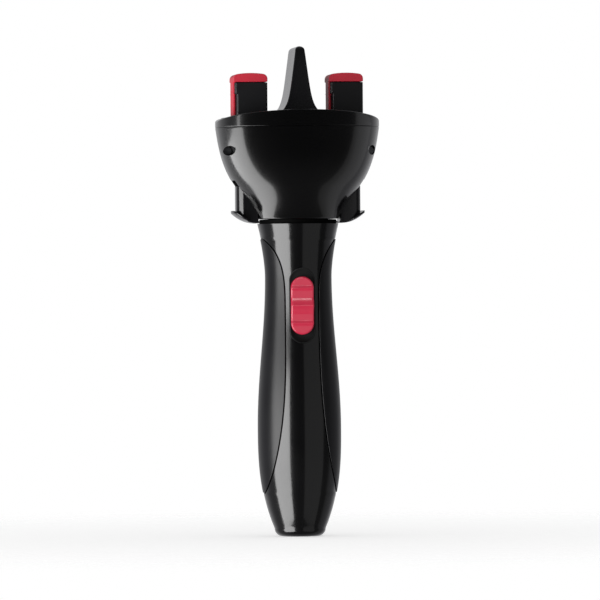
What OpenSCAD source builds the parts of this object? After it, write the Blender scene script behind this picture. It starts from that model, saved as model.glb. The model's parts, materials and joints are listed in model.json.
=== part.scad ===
// Automatic hair braider: a battery handle that carries a turning head with two twisting clips.
// Millimetres, +Z up, +X to the right and -Y towards the person who faces the switch.
// The origin is the middle of the flat foot.

/* [Handle casing] */
// Height of the casing, from the foot to its top edge
handle_h = 156.2; // [154:0.1:170]
// Radius that the sides aim for at the floor, before the foot's edge is rounded
foot_r = 11; // [10:0.1:13]
// Rounding of the foot's edge
foot_round = 4; // [3.2:0.1:5]
// Largest radius, in the palm
belly_r = 20.5; // [20.2:0.1:23]
// Height of the largest radius
belly_z = 54; // [50:0.5:56]
// Smallest radius, behind the switch
waist_r = 16.3; // [16:0.1:18]
// Height of the smallest radius
waist_z = 130; // [126:0.5:134]
// Radius at the top edge
handle_top_r = 20.3; // [19.8:0.1:20.6]
// Casing wall under the grips
shell_wall = 1.8; // [1.4:0.1:1.9]

/* [Side grips] */
// Thickness of a grip below the casing's surface
grip_t = 1.2; // [0.8:0.1:1.3]
// Height of a grip above the casing's surface
grip_proud = 0.35; // [0.1:0.05:0.8]
// Groove round each grip
groove = 0.4; // [0.2:0.05:0.8]
// Height of the grips' lower ends
grip_z0 = 21.5; // [16:0.5:30]
// Height of the grips' upper ends
grip_z1 = 148.8; // [142:0.2:151]
// Width of the bare strip between the grips at its narrowest
strip_w = 16.5; // [14.5:0.1:19]
// Height of that narrowest place
strip_z = 112; // [100:0.5:120]
// Angle from the back at which the grips end
grip_back_angle = 60; // [58:0.5:68]

/* [Battery bay] */
// Diameter of a cell
cell_d = 14.5; // [14:0.1:14.6]
// Length of a cell with its nub
cell_l = 50.5; // [49:0.1:51]
// Gap between the two cells
cell_gap = 0.3; // [0.2:0.05:0.8]
// Distance of the cells behind the handle's axis
cell_y = 4; // [3:0.1:4.5]
// Height of the bay's lower contact plate
bay_z = 26; // [25.5:0.5:28]
// Height of a compressed contact spring
contact_spring_h = 4; // [3:0.1:5]
// Walls of the battery tray
tray_wall = 1.5; // [1.2:0.1:2]
// Thickness of the contact plates
contact_t = 0.4; // [0.3:0.05:0.6]
// Thickness of the battery cover
cover_t = 1.6; // [1.2:0.1:1.7]
// Angle from the back to each side edge of the battery cover
cover_angle = 54; // [52:0.5:56]
// Overlap of the cover past the bay at each end
cover_lap = 2; // [1.5:0.1:2.5]

/* [Switch] */
// Depth of the slider's middle below the casing's top edge, when it is off
slider_drop = 41; // [40:0.1:42]
// Length of the slider
slider_l = 29; // [25:0.1:29.4]
// Width of the slider
slider_w = 11.5; // [9.5:0.1:12]
// Travel of the slider each way
slider_travel = 3.6; // [2:0.1:4.2]
// Rim of the liner round the slider
bezel_rim = 0.35; // [0.3:0.05:0.5]
// Height of the slider's middle ridge above the casing
ridge_h = 1.7; // [0.8:0.1:2.5]
// Distance between the slider's finger ridges
ridge_pitch = 8.7; // [7:0.1:9]
// Depth of the recess at its middle
recess_depth = 2.4; // [1.8:0.1:2.7]
// Height of the circuit board
board_h = 26; // [22:0.5:27]
// Width of the circuit board
board_w = 19; // [18.8:0.1:20]
// Thickness of the circuit board
board_t = 1.2; // [1:0.1:1.6]

/* [Motor and gearbox] */
// Diameter of the motor
motor_d = 20; // [18:0.1:20.4]
// Distance across the motor's flats
motor_flat = 15.1; // [13:0.1:15.4]
// Length of the motor's can
motor_l = 25; // [20:0.5:25.5]
// Depth of the motor's face below the handle's top edge
motor_drop = 5.2; // [4.5:0.1:6]
// Module of the gearbox teeth
gear_m = 0.5; // [0.45:0.01:0.5]
// Thickness of a gearbox wheel
wheel_t = 2.2; // [1.8:0.1:2.4]
// Height from one gear stage to the next
stage_h = 3.2; // [3:0.1:3.4]
// Diameter of the motor's shaft and of the side pin
pin_d = 2; // [1.5:0.1:2.1]
// Diameter of the output shaft
output_d = 4; // [3:0.1:5]
// Wall of the gearbox housing
housing_wall = 1.2; // [1:0.1:1.4]

/* [Neck] */
// Gap between the handle and the head
neck_gap = 2.3; // [1.8:0.1:3]
// Radius of the fixed collar in the gap
collar_r = 19.3; // [18.9:0.1:19.6]
// Wall of the head's bearing bush
bush_wall = 1.5; // [1.2:0.1:1.7]

/* [Head] */
// Radius of the funnel where it meets the neck
funnel_base_r = 20.9; // [20.6:0.1:22]
// Height of the funnel's shoulder above its base
shoulder_h = 16.5; // [15:0.1:18]
// Radius of the funnel at its shoulder
shoulder_r = 31.4; // [31:0.1:33]
// Height of the funnel
funnel_h = 45.7; // [45:0.1:50]
// Radius of the head at its rim
rim_r = 41; // [40.8:0.1:44]
// Wall of the funnel
funnel_wall = 1.6; // [1.3:0.1:1.8]
// Distance of the two joining screws from the axis
head_screw_x = 35.8; // [35.5:0.1:36.2]
// Height of the joining screws above the funnel's base
head_screw_h = 34; // [33:0.1:35]

/* [Lid] */
// Height of the lid's wall at its two sides
lid_side_h = 2.6; // [2.2:0.1:4]
// Rise of the lid's arch in the middle
lid_rise = 5.5; // [4.6:0.1:8]
// Wall of the lid
lid_wall = 1.8; // [1.4:0.1:1.9]
// Height of the divider above the lid's crown
divider_h = 32.2; // [28:0.1:38]
// Depth of the divider from front to back
divider_depth = 31; // [26:0.5:34]
// Thickness of the divider at its tip
divider_tip = 3.2; // [2.4:0.1:4]

/* [Twisters] */
// Module of the drive teeth in the head
drive_m = 0.8; // [0.79:0.01:0.81]
// Teeth of the sun gear
sun_teeth = 36; // [36:12:36]
// Teeth of each planet gear
planet_teeth = 24; // [24:12:24]
// Thickness of the drive gears
drive_t = 4; // [3:0.1:4.4]
// Radius of a turntable
disc_r = 14.1; // [13:0.1:14.2]
// Outer radius of a turntable's hollow shaft
spindle_r = 6; // [5.6:0.1:6.2]
// Height of a turntable's face above the funnel's rim
disc_h = 5; // [4.4:0.1:5.6]

/* [Clips] */
// Width of a clip's body
clip_w = 15.6; // [14:0.1:16]
// Depth of a clip's body
clip_d = 19; // [16:0.1:20]
// Height of a clip's body above its turntable
clip_h = 17.4; // [14:0.1:20]
// Thickness of a hook's cap
cap_h = 4.4; // [3.6:0.1:6]
// Thickness of a hook's leg
leg_t = 1.2; // [1:0.1:1.6]
// Width of a hook's leg
leg_d = 12; // [8:0.1:14]
// Diameter of a hook's rod
rod_d = 4; // [3:0.1:4.2]

/* [Levers] */
// Width of a lever's post
lever_w = 14; // [12:0.1:15]
// Travel of a lever
lever_travel = 10; // [6:0.1:11]
// Height of the levers' windows above the funnel's base
window_h = 19.4; // [19:0.1:20]
// Radius of the finger flange's lip
flange_r = 33.5; // [33:0.1:36]
// Width of the finger flange
flange_w = 20; // [18:0.1:24]
// Thickness of the finger flange
flange_t = 1.2; // [1:0.1:1.6]
// Wall of a lever
lever_wall = 1.6; // [1.2:0.1:2]

/* [Fits] */
// Radial clearance of a shaft that turns in a bore
run = 0.06; // [0.03:0.01:0.09]
// Gap between pieces that move past each other
gap = 0.3; // [0.25:0.01:0.35]
// Gap between pieces that are fixed together
seat = 0.1; // [0.05:0.01:0.15]

/* [Hidden] */
$fn = 96;

black = "#161617";
soft_black = "#262628";
red = "#c02a44";
steel = "#a9adb3";
brass = "#c9a14a";
white = "#e9e7e0";

// --- Outline of the handle ---------------------------------------------------------------------
foot_curve = 2.7;      // how fast the sides fill out above the foot
neck_curve = 1.6;      // how fast they open again above the waist
profile_step = 6;      // height of one step of the outline
case_t = shell_wall + grip_t;
split = 0.1;           // gap between two halves of a casing

function handle_r(z) =
    z < belly_z
        ? foot_r + (belly_r - foot_r) * (1 - pow(1 - max(z, 0) / belly_z, foot_curve))
    : z < waist_z
        ? belly_r + (waist_r - belly_r) * (1 - cos(180 * (z - belly_z) / (waist_z - belly_z))) / 2
    : waist_r + (handle_top_r - waist_r) * pow((z - waist_z) / (handle_h - waist_z), neck_curve);

function steps(z0, z1) =
    let (n = ceil((z1 - z0) / profile_step)) [for (k = [0 : n]) z0 + (z1 - z0) * k / n];

// The handle's solid of revolution, drawn in by depth and carried past its top edge by extra
module handle_solid(depth, extra = 0) {
    arc_x = handle_r(foot_round) - foot_round;
    rotate_extrude() polygon(concat(
        [[0, depth]],
        [for (a = [-90 : 18 : -18])
            [arc_x + (foot_round - depth) * cos(a), foot_round + (foot_round - depth) * sin(a)]],
        [for (z = steps(foot_round, handle_h)) [handle_r(z) - depth, z]],
        extra > 0 ? [[handle_top_r - depth, handle_h + extra]] : [],
        [[0, handle_h + extra]]));
}

// A layer of the handle's skin between two depths and two heights
module handle_layer(outer, inner, z0, z1) {
    rotate_extrude() polygon(concat(
        [for (z = steps(z0, z1)) [handle_r(z) - outer, z]],
        [for (z = [for (s = steps(-z1, -z0)) -s]) [handle_r(z) - inner, z]]));
}

module front_half() {
    intersection() {
        children();
        translate([-60, -60 - split / 2, -10]) cube([120, 60, 300]);
    }
}

module rear_half() {
    intersection() {
        children();
        translate([-60, split / 2, -10]) cube([120, 60, 300]);
    }
}

// --- Side grips --------------------------------------------------------------------------------
lower_sweep = 2.9;     // how late the strip widens towards the foot
upper_sweep = 3.7;     // how late it widens towards the neck
end_share = 0.985;     // share of the radius at which a grip's edge runs out
glue = 0.1;            // glue line under a grip

function front_edge(z) =
    z < strip_z
        ? strip_w / 2 + (end_share * handle_r(grip_z0) - strip_w / 2)
            * pow((strip_z - z) / (strip_z - grip_z0), lower_sweep)
        : strip_w / 2 + (end_share * handle_r(grip_z1) - strip_w / 2)
            * pow((z - strip_z) / (grip_z1 - strip_z), upper_sweep);

function back_edge(z) =
    let (mid = (grip_z0 + grip_z1) / 2, u = abs(z - mid) / (grip_z1 - mid), s = sin(grip_back_angle))
    handle_r(z) * (s + (end_share - s) * pow(u, 6));

// Everything beyond the edges of the right-hand grip, moved outwards by inset
module grip_side(inset) {
    z_list = steps(grip_z0, grip_z1);
    rotate([90, 0, 0]) linear_extrude(40) polygon(concat(
        [for (z = z_list) [front_edge(z) + inset, z]], [[60, grip_z1], [60, grip_z0]]));
    rotate([90, 0, 0]) translate([0, 0, -40]) linear_extrude(40) polygon(concat(
        [for (z = z_list) [back_edge(z) + inset, z]], [[60, grip_z1], [60, grip_z0]]));
}

module grip() {
    color(soft_black) intersection() {
        handle_layer(-grip_proud, grip_t - glue, grip_z0 + groove, grip_z1 - groove);
        grip_side(groove);
    }
}

module right_grip() { grip(); }
module left_grip() { mirror([1, 0, 0]) grip(); }

module grip_pockets() {
    for (side = [0, 1]) mirror([side, 0, 0]) intersection() {
        handle_layer(-5, grip_t, grip_z0, grip_z1);
        grip_side(0);
    }
}

// --- Battery bay -------------------------------------------------------------------------------
cell_r = cell_d / 2;
cell_x = cell_r + cell_gap / 2;
bay_l = cell_l + contact_spring_h;
bay_top = bay_z + bay_l;
cover_z0 = bay_z - cover_lap;
cover_z1 = bay_top + cover_lap;
nub_h = 1;
nub_r = 2.75;
cell_clear = 0.25;
tray_back = 5;          // height of the tray's end walls beside the cells
contact_w = 9;
lead_r = 0.6;
lead_y = cell_y + contact_w / 4;    // where the leads leave the upper contact plates

module wedge(angle, inset) {
    far = 60;
    translate([0, inset / sin(angle), -1]) linear_extrude(300)
        polygon([[0, 0], [far * sin(angle), far * cos(angle)], [0, far * 2],
                 [-far * sin(angle), far * cos(angle)]]);
}

module cover_recess() {
    intersection() {
        handle_layer(-5, cover_t + seat, cover_z0, cover_z1);
        wedge(cover_angle, 0);
    }
}

cover_ridges = 4;        // finger ridges at the cover's upper end
cover_ridge_pitch = 3;
cover_ridge_h = 0.5;
cover_ridge_t = 1;
cover_ridge_w = 14;
cover_ridge_drop = 6;    // from the cover's upper end down to the first ridge

module battery_cover() {
    color(black) {
        intersection() {
            handle_layer(0, cover_t, cover_z0 + gap, cover_z1 - gap);
            wedge(cover_angle, gap);
        }
        for (k = [0 : cover_ridges - 1]) {
            z = cover_z1 - cover_ridge_drop - k * cover_ridge_pitch;
            intersection() {
                handle_layer(-cover_ridge_h, cover_t / 2, z, z + cover_ridge_t);
                translate([-cover_ridge_w / 2, 0, z]) cube([cover_ridge_w, 40, cover_ridge_t]);
            }
        }
    }
}

module tray_cavity() {
    for (side = [-1, 1]) translate([side * cell_x, cell_y, bay_z - contact_t]) {
        cylinder(h = bay_l + 2 * contact_t, r = cell_r + cell_clear);
        translate([-cell_r - cell_clear, 0, 0])
            cube([2 * (cell_r + cell_clear), 40, bay_l + 2 * contact_t]);
    }
}

module battery_tray() {
    half_w = cell_x + cell_r + tray_wall;
    front = cell_y - cell_r - tray_wall;
    color(soft_black) difference() {
        intersection() {
            translate([-half_w, front, bay_z - contact_t - tray_wall])
                cube([2 * half_w, cell_y + tray_back - front, bay_l + 2 * (contact_t + tray_wall)]);
            handle_solid(case_t + seat);
        }
        tray_cavity();
        for (side = [-1, 1]) translate([side * cell_x, lead_y, bay_top])
            cylinder(h = 2 * (contact_t + tray_wall), r = lead_r + gap);
    }
}

// One cell with its flat end at the bottom
module cell() {
    cylinder(h = cell_l - nub_h, r = cell_r);
    cylinder(h = cell_l, r = nub_r);
}

module battery_cells() {
    color(brass) {
        translate([-cell_x, cell_y, bay_z + contact_spring_h]) cell();
        translate([cell_x, cell_y, bay_z + cell_l]) mirror([0, 0, 1]) cell();
    }
}

// A round wire wound up the Z axis, with its lowest and highest points at 0 and h
module coil(mean_r, wire_r, turns, h) {
    sides = 6;
    per_turn = 14;
    n = turns * per_turn;
    rise = (h - 2 * wire_r) / n;
    ring = [for (k = [0 : n]) for (j = [0 : sides - 1])
        let (a = 360 * k / per_turn, b = 360 * j / sides, r = mean_r + wire_r * cos(b))
        [r * cos(a), r * sin(a), wire_r + k * rise + wire_r * sin(b)]];
    caps = [[for (j = [sides - 1 : -1 : 0]) j], [for (j = [0 : sides - 1]) n * sides + j]];
    walls = [for (k = [0 : n - 1]) for (j = [0 : sides - 1])
        let (a = k * sides + j, b = k * sides + (j + 1) % sides)
        for (f = [[a, b, a + sides], [b, b + sides, a + sides]]) f];
    polyhedron(ring, concat(caps, walls), convexity = 10);
}

contact_wire_r = 0.35;
module battery_springs() {
    color(steel) {
        translate([-cell_x, cell_y, bay_z]) coil(4.5, contact_wire_r, 3, contact_spring_h);
        translate([cell_x, cell_y, bay_top]) mirror([0, 0, 1])
            coil(4.5, contact_wire_r, 3, contact_spring_h);
    }
}

module battery_contacts() {
    color(steel) {
        for (side = [-1, 1]) for (z = [bay_z - contact_t, bay_top])
            translate([side * cell_x - contact_w / 2, cell_y - contact_w / 2, z])
                cube([contact_w, contact_w, contact_t]);
        translate([-cell_x, cell_y, bay_z - contact_t]) cube([2 * cell_x, contact_w / 2, contact_t]);
    }
}

// --- Switch ------------------------------------------------------------------------------------
slider_z = handle_h - slider_drop;
face_y = -handle_r(slider_z);              // the casing's surface at the slider
floor_y = face_y + recess_depth;           // floor of the recess
bezel_t = 1.2;
recess_l = slider_l + 2 * (slider_travel + gap + bezel_rim);
recess_w = slider_w + 2 * (gap + bezel_rim);
slot_w = 4.6;
stem_h = 6;
knob_reach = 1.4;                          // how far the knob reaches into the switch
skirt_t = 0.8;
skirt_y = floor_y + bezel_t + gap;         // front of the skirt plate
skirt_l = stem_h + 4 * slider_travel + 2;
knob_w = 3;
knob_y = skirt_y + skirt_t;
switch_l = 13;
switch_w = 9;
board_y = floor_y + 10.4;                  // front of the circuit board
board_back = board_y + board_t + seat / 2; // where the leads' ends lie on the board
switch_y = board_y - 4.5;
board_z = slider_z - board_h / 2 - 5;      // lower edge of the circuit board
post_r = 1.4;
post_x = board_w / 2 - post_r;
post_z = [board_z + 2, board_z + board_h - 4];
board_screw_r = 0.8;

// A slot shape along Z, drawn in the plane that faces the switch and carried back from y0 to y1
module obround(l, w, y0, y1) {
    translate([0, y1, slider_z]) rotate([90, 0, 0]) linear_extrude(y1 - y0) {
        square([w, l - w], center = true);
        for (side = [-1, 1]) translate([0, side * (l - w) / 2]) circle(w / 2);
    }
}

module switch_bezel() {
    color(soft_black) difference() {
        intersection() {
            handle_solid(seat);
            obround(recess_l, recess_w, face_y - 10, floor_y + bezel_t);
        }
        obround(recess_l - 2 * bezel_rim, recess_w - 2 * bezel_rim, face_y - 10, floor_y);
        translate([-slot_w / 2, floor_y - 1, slider_z - stem_h / 2 - slider_travel - gap])
            cube([slot_w, bezel_t + 2, stem_h + 2 * (slider_travel + gap)]);
    }
}

slider_flat = 0.3;                         // height of the slider's flats above the casing
ridge_half = 4.2;                          // half the length of the middle ridge
rib_half = 1.2;                            // half the length of the small rib on each side of it
rib_h = 0.6;                               // height of the small ribs above the flats

function swell(z, half, h) = h * pow(max(0, 1 - abs(z) / half), 1.5);

// The slider's surface at height z from its middle
function slider_y(z) =
    face_y - slider_flat - swell(z, ridge_half, ridge_h - slider_flat)
    - swell(abs(z) - ridge_pitch, rib_half, rib_h);

module slider() {
    back_y = floor_y - gap;
    z_list = concat(
        [-slider_l / 2],
        [for (u = [-1 : 0.25 : 1]) u * rib_half - ridge_pitch],
        [for (u = [-1 : 0.125 : 1]) u * ridge_half],
        [for (u = [-1 : 0.25 : 1]) u * rib_half + ridge_pitch],
        [slider_l / 2]);
    color(red) {
        intersection() {
            obround(slider_l, slider_w, face_y - ridge_h - 2, back_y);
            translate([-slider_w, 0, slider_z]) rotate([90, 0, 90]) linear_extrude(2 * slider_w)
                polygon(concat(
                    [for (z = z_list) [slider_y(z), z]],
                    [[back_y, slider_l / 2], [back_y, -slider_l / 2]]));
        }
        translate([-slot_w / 2 + gap, back_y - 1, slider_z - stem_h / 2])
            cube([slot_w - 2 * gap, skirt_y - back_y + 1, stem_h]);
    }
}

module slider_skirt() {
    color(soft_black) translate([-slider_w / 2, skirt_y, slider_z - skirt_l / 2])
        cube([slider_w, skirt_t, skirt_l]);
}

module switch_knob() {
    color(soft_black) translate([-knob_w / 2, knob_y, slider_z - knob_w / 2])
        cube([knob_w, switch_y + knob_reach - knob_y, knob_w]);
}

module slide_switch() {
    slot_l = knob_w + 2 * (slider_travel + gap);
    color(steel) difference() {
        translate([-switch_w / 2, switch_y, slider_z - switch_l / 2])
            cube([switch_w, board_y - switch_y, switch_l]);
        translate([-knob_w / 2 - gap, switch_y - 1, slider_z - slot_l / 2])
            cube([knob_w + 2 * gap, 1 + knob_reach + gap, slot_l]);
    }
}

module circuit_board() {
    color("#1f5a3a") difference() {
        translate([-board_w / 2, board_y, board_z]) cube([board_w, board_t, board_h]);
        for (side = [-1, 1]) for (z = post_z)
            translate([side * post_x, board_y - 1, z]) rotate([-90, 0, 0])
                cylinder(h = board_t + 2, r = board_screw_r + seat);
    }
}

board_screw_l = 5;
module board_screws() {
    color(steel) for (side = [-1, 1]) for (z = post_z)
        translate([side * post_x, board_y + board_t, z]) rotate([90, 0, 0]) {
            cylinder(h = board_screw_l, r = board_screw_r);
            mirror([0, 0, 1]) cylinder(h = 0.9, r = 1.5);
        }
}

// --- Gears -------------------------------------------------------------------------------------
wheel_teeth = 22;
pinion_teeth = 8;
side_y = gear_m * (wheel_teeth + pinion_teeth) / 2;    // from the axis to the side pin

// A spur gear with straight-sided teeth, one of them on the +X axis
module spur(teeth, m, h) {
    pitch_r = teeth * m / 2;
    corners = [[pitch_r - 1.05 * m, -96], [pitch_r + 0.8 * m, -42],
               [pitch_r + 0.8 * m, 42], [pitch_r - 1.05 * m, 96]];
    linear_extrude(h) polygon([for (k = [0 : teeth - 1]) for (c = corners)
        let (a = (360 * k + c[1]) / teeth) [c[0] * cos(a), c[0] * sin(a)]]);
}

module bored(r, z0, z1) {
    difference() {
        children();
        translate([0, 0, z0 - 1]) cylinder(h = z1 - z0 + 2, r = r);
    }
}

housing_z = handle_h - motor_drop;                 // underside of the gearbox floor
floor_t = 2;
stage_z = housing_z + floor_t + 0.8;               // underside of the lowest wheel
function stage(k) = stage_z + k * stage_h;
pinion_h = wheel_t + 0.2;
pin_r = pin_d / 2;
wheel_tip = gear_m * (wheel_teeth / 2 + 0.8);
housing_in = side_y + wheel_tip + gap;
housing_out = housing_in + housing_wall;
cap_z = stage(3) + wheel_t + 0.8;
cap_t = 2;
ring_t = 1.1;
ring_z = cap_z + cap_t;                            // underside of the retaining ring
housing_top = ring_z + ring_t + 0.6;
ring_groove = 0.5;
motor_r = motor_d / 2;
motor_boss_r = 3;
motor_boss_h = 1.5;
tab_x = 5;                                         // the motor's two solder tabs
tab_w = 2.4;
tab_t = 0.4;
tab_l = 3;

// A wheel with a smaller pinion on top of it, which reaches into the next stage
module compound_gear() {
    bored(pin_r + run, 0, stage_h + pinion_h) {
        spur(wheel_teeth, gear_m, wheel_t);
        translate([0, 0, wheel_t - 0.1]) spur(pinion_teeth, gear_m, stage_h + pinion_h - wheel_t + 0.1);
    }
}

module motor() {
    color(steel) difference() {
        union() {
            translate([0, 0, housing_z - motor_l]) intersection() {
                cylinder(h = motor_l, r = motor_r);
                translate([-motor_r, -motor_flat / 2, 0]) cube([motor_d, motor_flat, motor_l]);
            }
            translate([0, 0, housing_z - 0.1]) cylinder(h = motor_boss_h + 0.1, r = motor_boss_r);
            for (side = [-1, 1])
                translate([side * tab_x - tab_w / 2, -tab_t / 2, housing_z - motor_l - tab_l])
                    cube([tab_w, tab_t, tab_l + 0.1]);
        }
        translate([0, 0, housing_z - motor_l / 2]) cylinder(h = motor_l, r = pin_r + run);
    }
}

module motor_pinion() {
    shaft_z = housing_z - motor_l / 2 + 0.5;
    color(brass) {
        translate([0, 0, shaft_z]) cylinder(h = stage(3) + 1.6 - shaft_z, r = pin_r);
        translate([0, 0, stage_z]) spur(pinion_teeth, gear_m, pinion_h);
    }
}

module lower_side_gear() { color(white) translate([0, side_y, stage(0)]) compound_gear(); }
module middle_gear() { color(white) translate([0, 0, stage(1)]) compound_gear(); }
module upper_side_gear() { color(white) translate([0, side_y, stage(2)]) compound_gear(); }

module side_pin() {
    color(steel) translate([0, side_y, housing_z + 0.5])
        cylinder(h = cap_z + cap_t - 0.5 - housing_z, r = pin_r);
}

// --- Head levels, needed by the long output shaft ----------------------------------------------
head_z = handle_h + neck_gap;
rim_z = head_z + funnel_h;
drive_z = rim_z - 6.7;                             // underside of the drive gears
carrier_t = 3;
carrier_z = drive_z - 4 - carrier_t;
clip_x = drive_m * (sun_teeth + planet_teeth) / 2;
output_r = output_d / 2;

module output_shaft() {
    color(steel) difference() {
        union() {
            translate([0, 0, stage(3)]) spur(wheel_teeth, gear_m, wheel_t);
            translate([0, 0, stage(3)]) cylinder(h = drive_z + drive_t - stage(3), r = output_r);
        }
        translate([0, 0, stage(3) - 1]) cylinder(h = 3, r = pin_r + run);
    }
}

module gearbox_housing() {
    color(black) difference() {
        union() {
            translate([0, 0, housing_z]) cylinder(h = housing_top - housing_z, r = housing_out);
            translate([0, 0, handle_h + seat])
                cylinder(h = neck_gap - gap - seat, r = collar_r);
        }
        translate([0, 0, housing_z + floor_t]) cylinder(h = housing_top, r = housing_in);
        translate([0, 0, housing_z - 1]) cylinder(h = floor_t + 2, r = motor_boss_r + seat);
        translate([0, side_y, housing_z + 0.5]) cylinder(h = floor_t, r = pin_r);
        translate([0, 0, ring_z]) rotate_extrude()
            translate([housing_out - ring_groove, 0]) square([ring_groove + 1, ring_t + seat]);
    }
}

module gearbox_cap() {
    color(white) difference() {
        translate([0, 0, cap_z]) cylinder(h = cap_t, r = housing_in - seat);
        translate([0, 0, cap_z - 1]) cylinder(h = cap_t + 2, r = output_r + run);
        translate([0, side_y, cap_z - 1]) cylinder(h = cap_t + 2, r = pin_r);
    }
}

bush_in = housing_out + run;
bush_out = bush_in + bush_wall;
bush_flange_r = bush_out + 1.6;
funnel_floor = 2.5;

module retaining_ring() {
    color(steel) translate([0, 0, ring_z + seat / 2]) difference() {
        cylinder(h = ring_t, r = bush_out);
        translate([0, 0, -1]) cylinder(h = ring_t + 2, r = housing_out - ring_groove + seat / 2);
        translate([-3, 0, -1]) cube([6, 40, ring_t + 2]);
    }
}

module head_bush() {
    top = ring_z - gap;
    color(white) bored(bush_in, head_z, top) {
        translate([0, 0, head_z + 0.2]) cylinder(h = top - head_z - 0.2, r = bush_out);
        translate([0, 0, head_z + funnel_floor + seat]) cylinder(h = 1.5, r = bush_flange_r);
    }
}

// --- Handle casing -----------------------------------------------------------------------------
boss_r = 3.2;
boss_z = [cover_z0 / 2, (cover_z1 + board_z) / 2];
case_screw_r = 1.2;
case_head_r = 2.3;
case_head_h = 1.5;
boss_seat = 7;
case_screw_l = 16;

module along_y(x, z, y0, y1, r) {
    translate([x, y0, z]) rotate([-90, 0, 0]) cylinder(h = y1 - y0, r = r);
}

// A rib round the inside of the handle, with a round opening
module rib(z0, z1, r) {
    rotate_extrude() polygon([
        [r, z0], [handle_r(z0) - case_t / 2, z0], [handle_r(z1) - case_t / 2, z1], [r, z1]]);
}

module casing() {
    difference() {
        union() {
            difference() {
                handle_solid(0);
                handle_solid(case_t, 1);
            }
            for (z = boss_z) intersection() {
                along_y(0, z, -40, 40, boss_r);
                handle_solid(case_t / 2);
            }
            for (z = [housing_z - motor_l + 4, housing_z - 8]) rib(z, z + 2, motor_r + seat);
            rib(handle_h - 3.5, handle_h, housing_out + seat);
            intersection() {
                for (side = [-1, 1]) for (z = post_z)
                    along_y(side * post_x, z, -30, board_y - seat / 2, post_r);
                handle_solid(case_t / 2);
            }
        }
        grip_pockets();
        cover_recess();
        translate([-cell_x - cell_r - cell_clear, cell_y, bay_z - 0.5])
            cube([2 * (cell_x + cell_r + cell_clear), 40, bay_l + 1]);
        obround(recess_l + 2 * seat, recess_w + 2 * seat, -40, board_y - 6);
        for (z = boss_z) {
            along_y(0, z, boss_seat - case_screw_l - 0.5, boss_seat + 1, case_screw_r + seat / 2);
            along_y(0, z, boss_seat, 40, case_head_r + gap);
        }
        for (side = [-1, 1]) for (z = post_z)
            along_y(side * post_x, z, board_y + board_t - board_screw_l - 0.3, board_y,
                    board_screw_r + seat / 2);
    }
}

module front_shell() { color(black) front_half() casing(); }
module rear_shell() { color(black) rear_half() casing(); }

module case_screws() {
    color(steel) for (z = boss_z) {
        along_y(0, z, boss_seat - case_screw_l, boss_seat + seat, case_screw_r);
        difference() {
            along_y(0, z, boss_seat + seat / 2, boss_seat + case_head_h, case_head_r);
            translate([-0.3, boss_seat + 0.7, z - 1.5]) cube([0.6, 2, 3]);
            translate([-1.5, boss_seat + 0.7, z - 0.3]) cube([3, 2, 0.6]);
        }
    }
}

// --- Leads -------------------------------------------------------------------------------------
// A point of the smooth curve through p1 and p2, at share t of the way
function smooth(p0, p1, p2, p3, t) =
    p1 + (p2 - p0) * t / 2 + (2 * p0 - 5 * p1 + 4 * p2 - p3) * t * t / 2
    + (3 * p1 - p0 - 3 * p2 + p3) * t * t * t / 2;

function unit(v) = v / norm(v);

// A wire that follows a smooth curve through the points of its route
module lead(route) {
    sides = 8;
    per_leg = 4;
    last = len(route) - 1;
    path = [for (k = [0 : last - 1]) for (j = [0 : k == last - 1 ? per_leg : per_leg - 1])
        smooth(route[max(k - 1, 0)], route[k], route[k + 1], route[min(k + 2, last)], j / per_leg)];
    n = len(path) - 1;
    ring = [for (k = [0 : n])
        let (along = unit(path[min(k + 1, n)] - path[max(k - 1, 0)]),
             side = unit(cross(along, [0.2, 1, 0.1])), up = cross(side, along))
        for (j = [0 : sides - 1]) let (a = -360 * j / sides)
            path[k] + lead_r * (cos(a) * side + sin(a) * up)];
    caps = [[for (j = [0 : sides - 1]) j], [for (j = [sides - 1 : -1 : 0]) n * sides + j]];
    walls = [for (k = [0 : n - 1]) for (j = [0 : sides - 1])
        let (a = k * sides + j, b = k * sides + (j + 1) % sides)
        for (f = [[a, a + sides, b], [b, a + sides, b + sides]]) f];
    polyhedron(ring, concat(caps, walls), convexity = 6);
}

// Points of a wire's straight end, which leaves a face at p square to it, towards step
function lead_end(p, step) = [for (k = [0 : 2]) p + k * step];
function lead_tail(p, step) = [for (k = [2 : -1 : 0]) p + k * step];

// From the upper contact plates, round the screw boss, to the back of the circuit board
module battery_leads() {
    color("#b03030") for (side = [-1, 1])
        lead(concat(
            lead_end([side * cell_x, lead_y, bay_top + contact_t + seat / 2], [0, 0, 1.5]),
            [[side * 7, 1, (bay_top + board_z) / 2 + 3]],
            lead_tail([side * 6, board_back, board_z + 8], [0, 1.5, 0])));
}

// From the back of the circuit board to the motor's two tabs
module motor_leads() {
    tab_z = housing_z - motor_l - 2;
    color("#303030") for (side = [-1, 1])
        lead(concat(
            lead_end([side * tab_x, (tab_t + seat) / 2, tab_z], [0, 0.8, 0]),
            [[side * 4, 2.4, tab_z - 5]],
            lead_tail([side * 3, board_back, slider_z - 4], [0, 1.2, 0])));
}

// --- Funnel ------------------------------------------------------------------------------------
base_slope = 0.39;
shoulder_slope = 0.69;
rim_slope = 0.15;

// Height of a cubic curve between two points with given slopes, at share s of the length
function cubic(s, len, a, slope_a, b, slope_b) =
    a * (1 - 3 * s * s + 2 * s * s * s) + slope_a * len * (s - 2 * s * s + s * s * s)
    + b * (3 * s * s - 2 * s * s * s) + slope_b * len * (s * s * s - s * s);

// Radius of the funnel at height h above its base
function funnel_r(h) =
    h < shoulder_h
        ? cubic(h / shoulder_h, shoulder_h, funnel_base_r, base_slope, shoulder_r, shoulder_slope)
        : cubic((h - shoulder_h) / (funnel_h - shoulder_h), funnel_h - shoulder_h,
                shoulder_r, shoulder_slope, rim_r, rim_slope);

funnel_steps = [for (k = [0 : 22]) funnel_h * k / 22];

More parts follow.
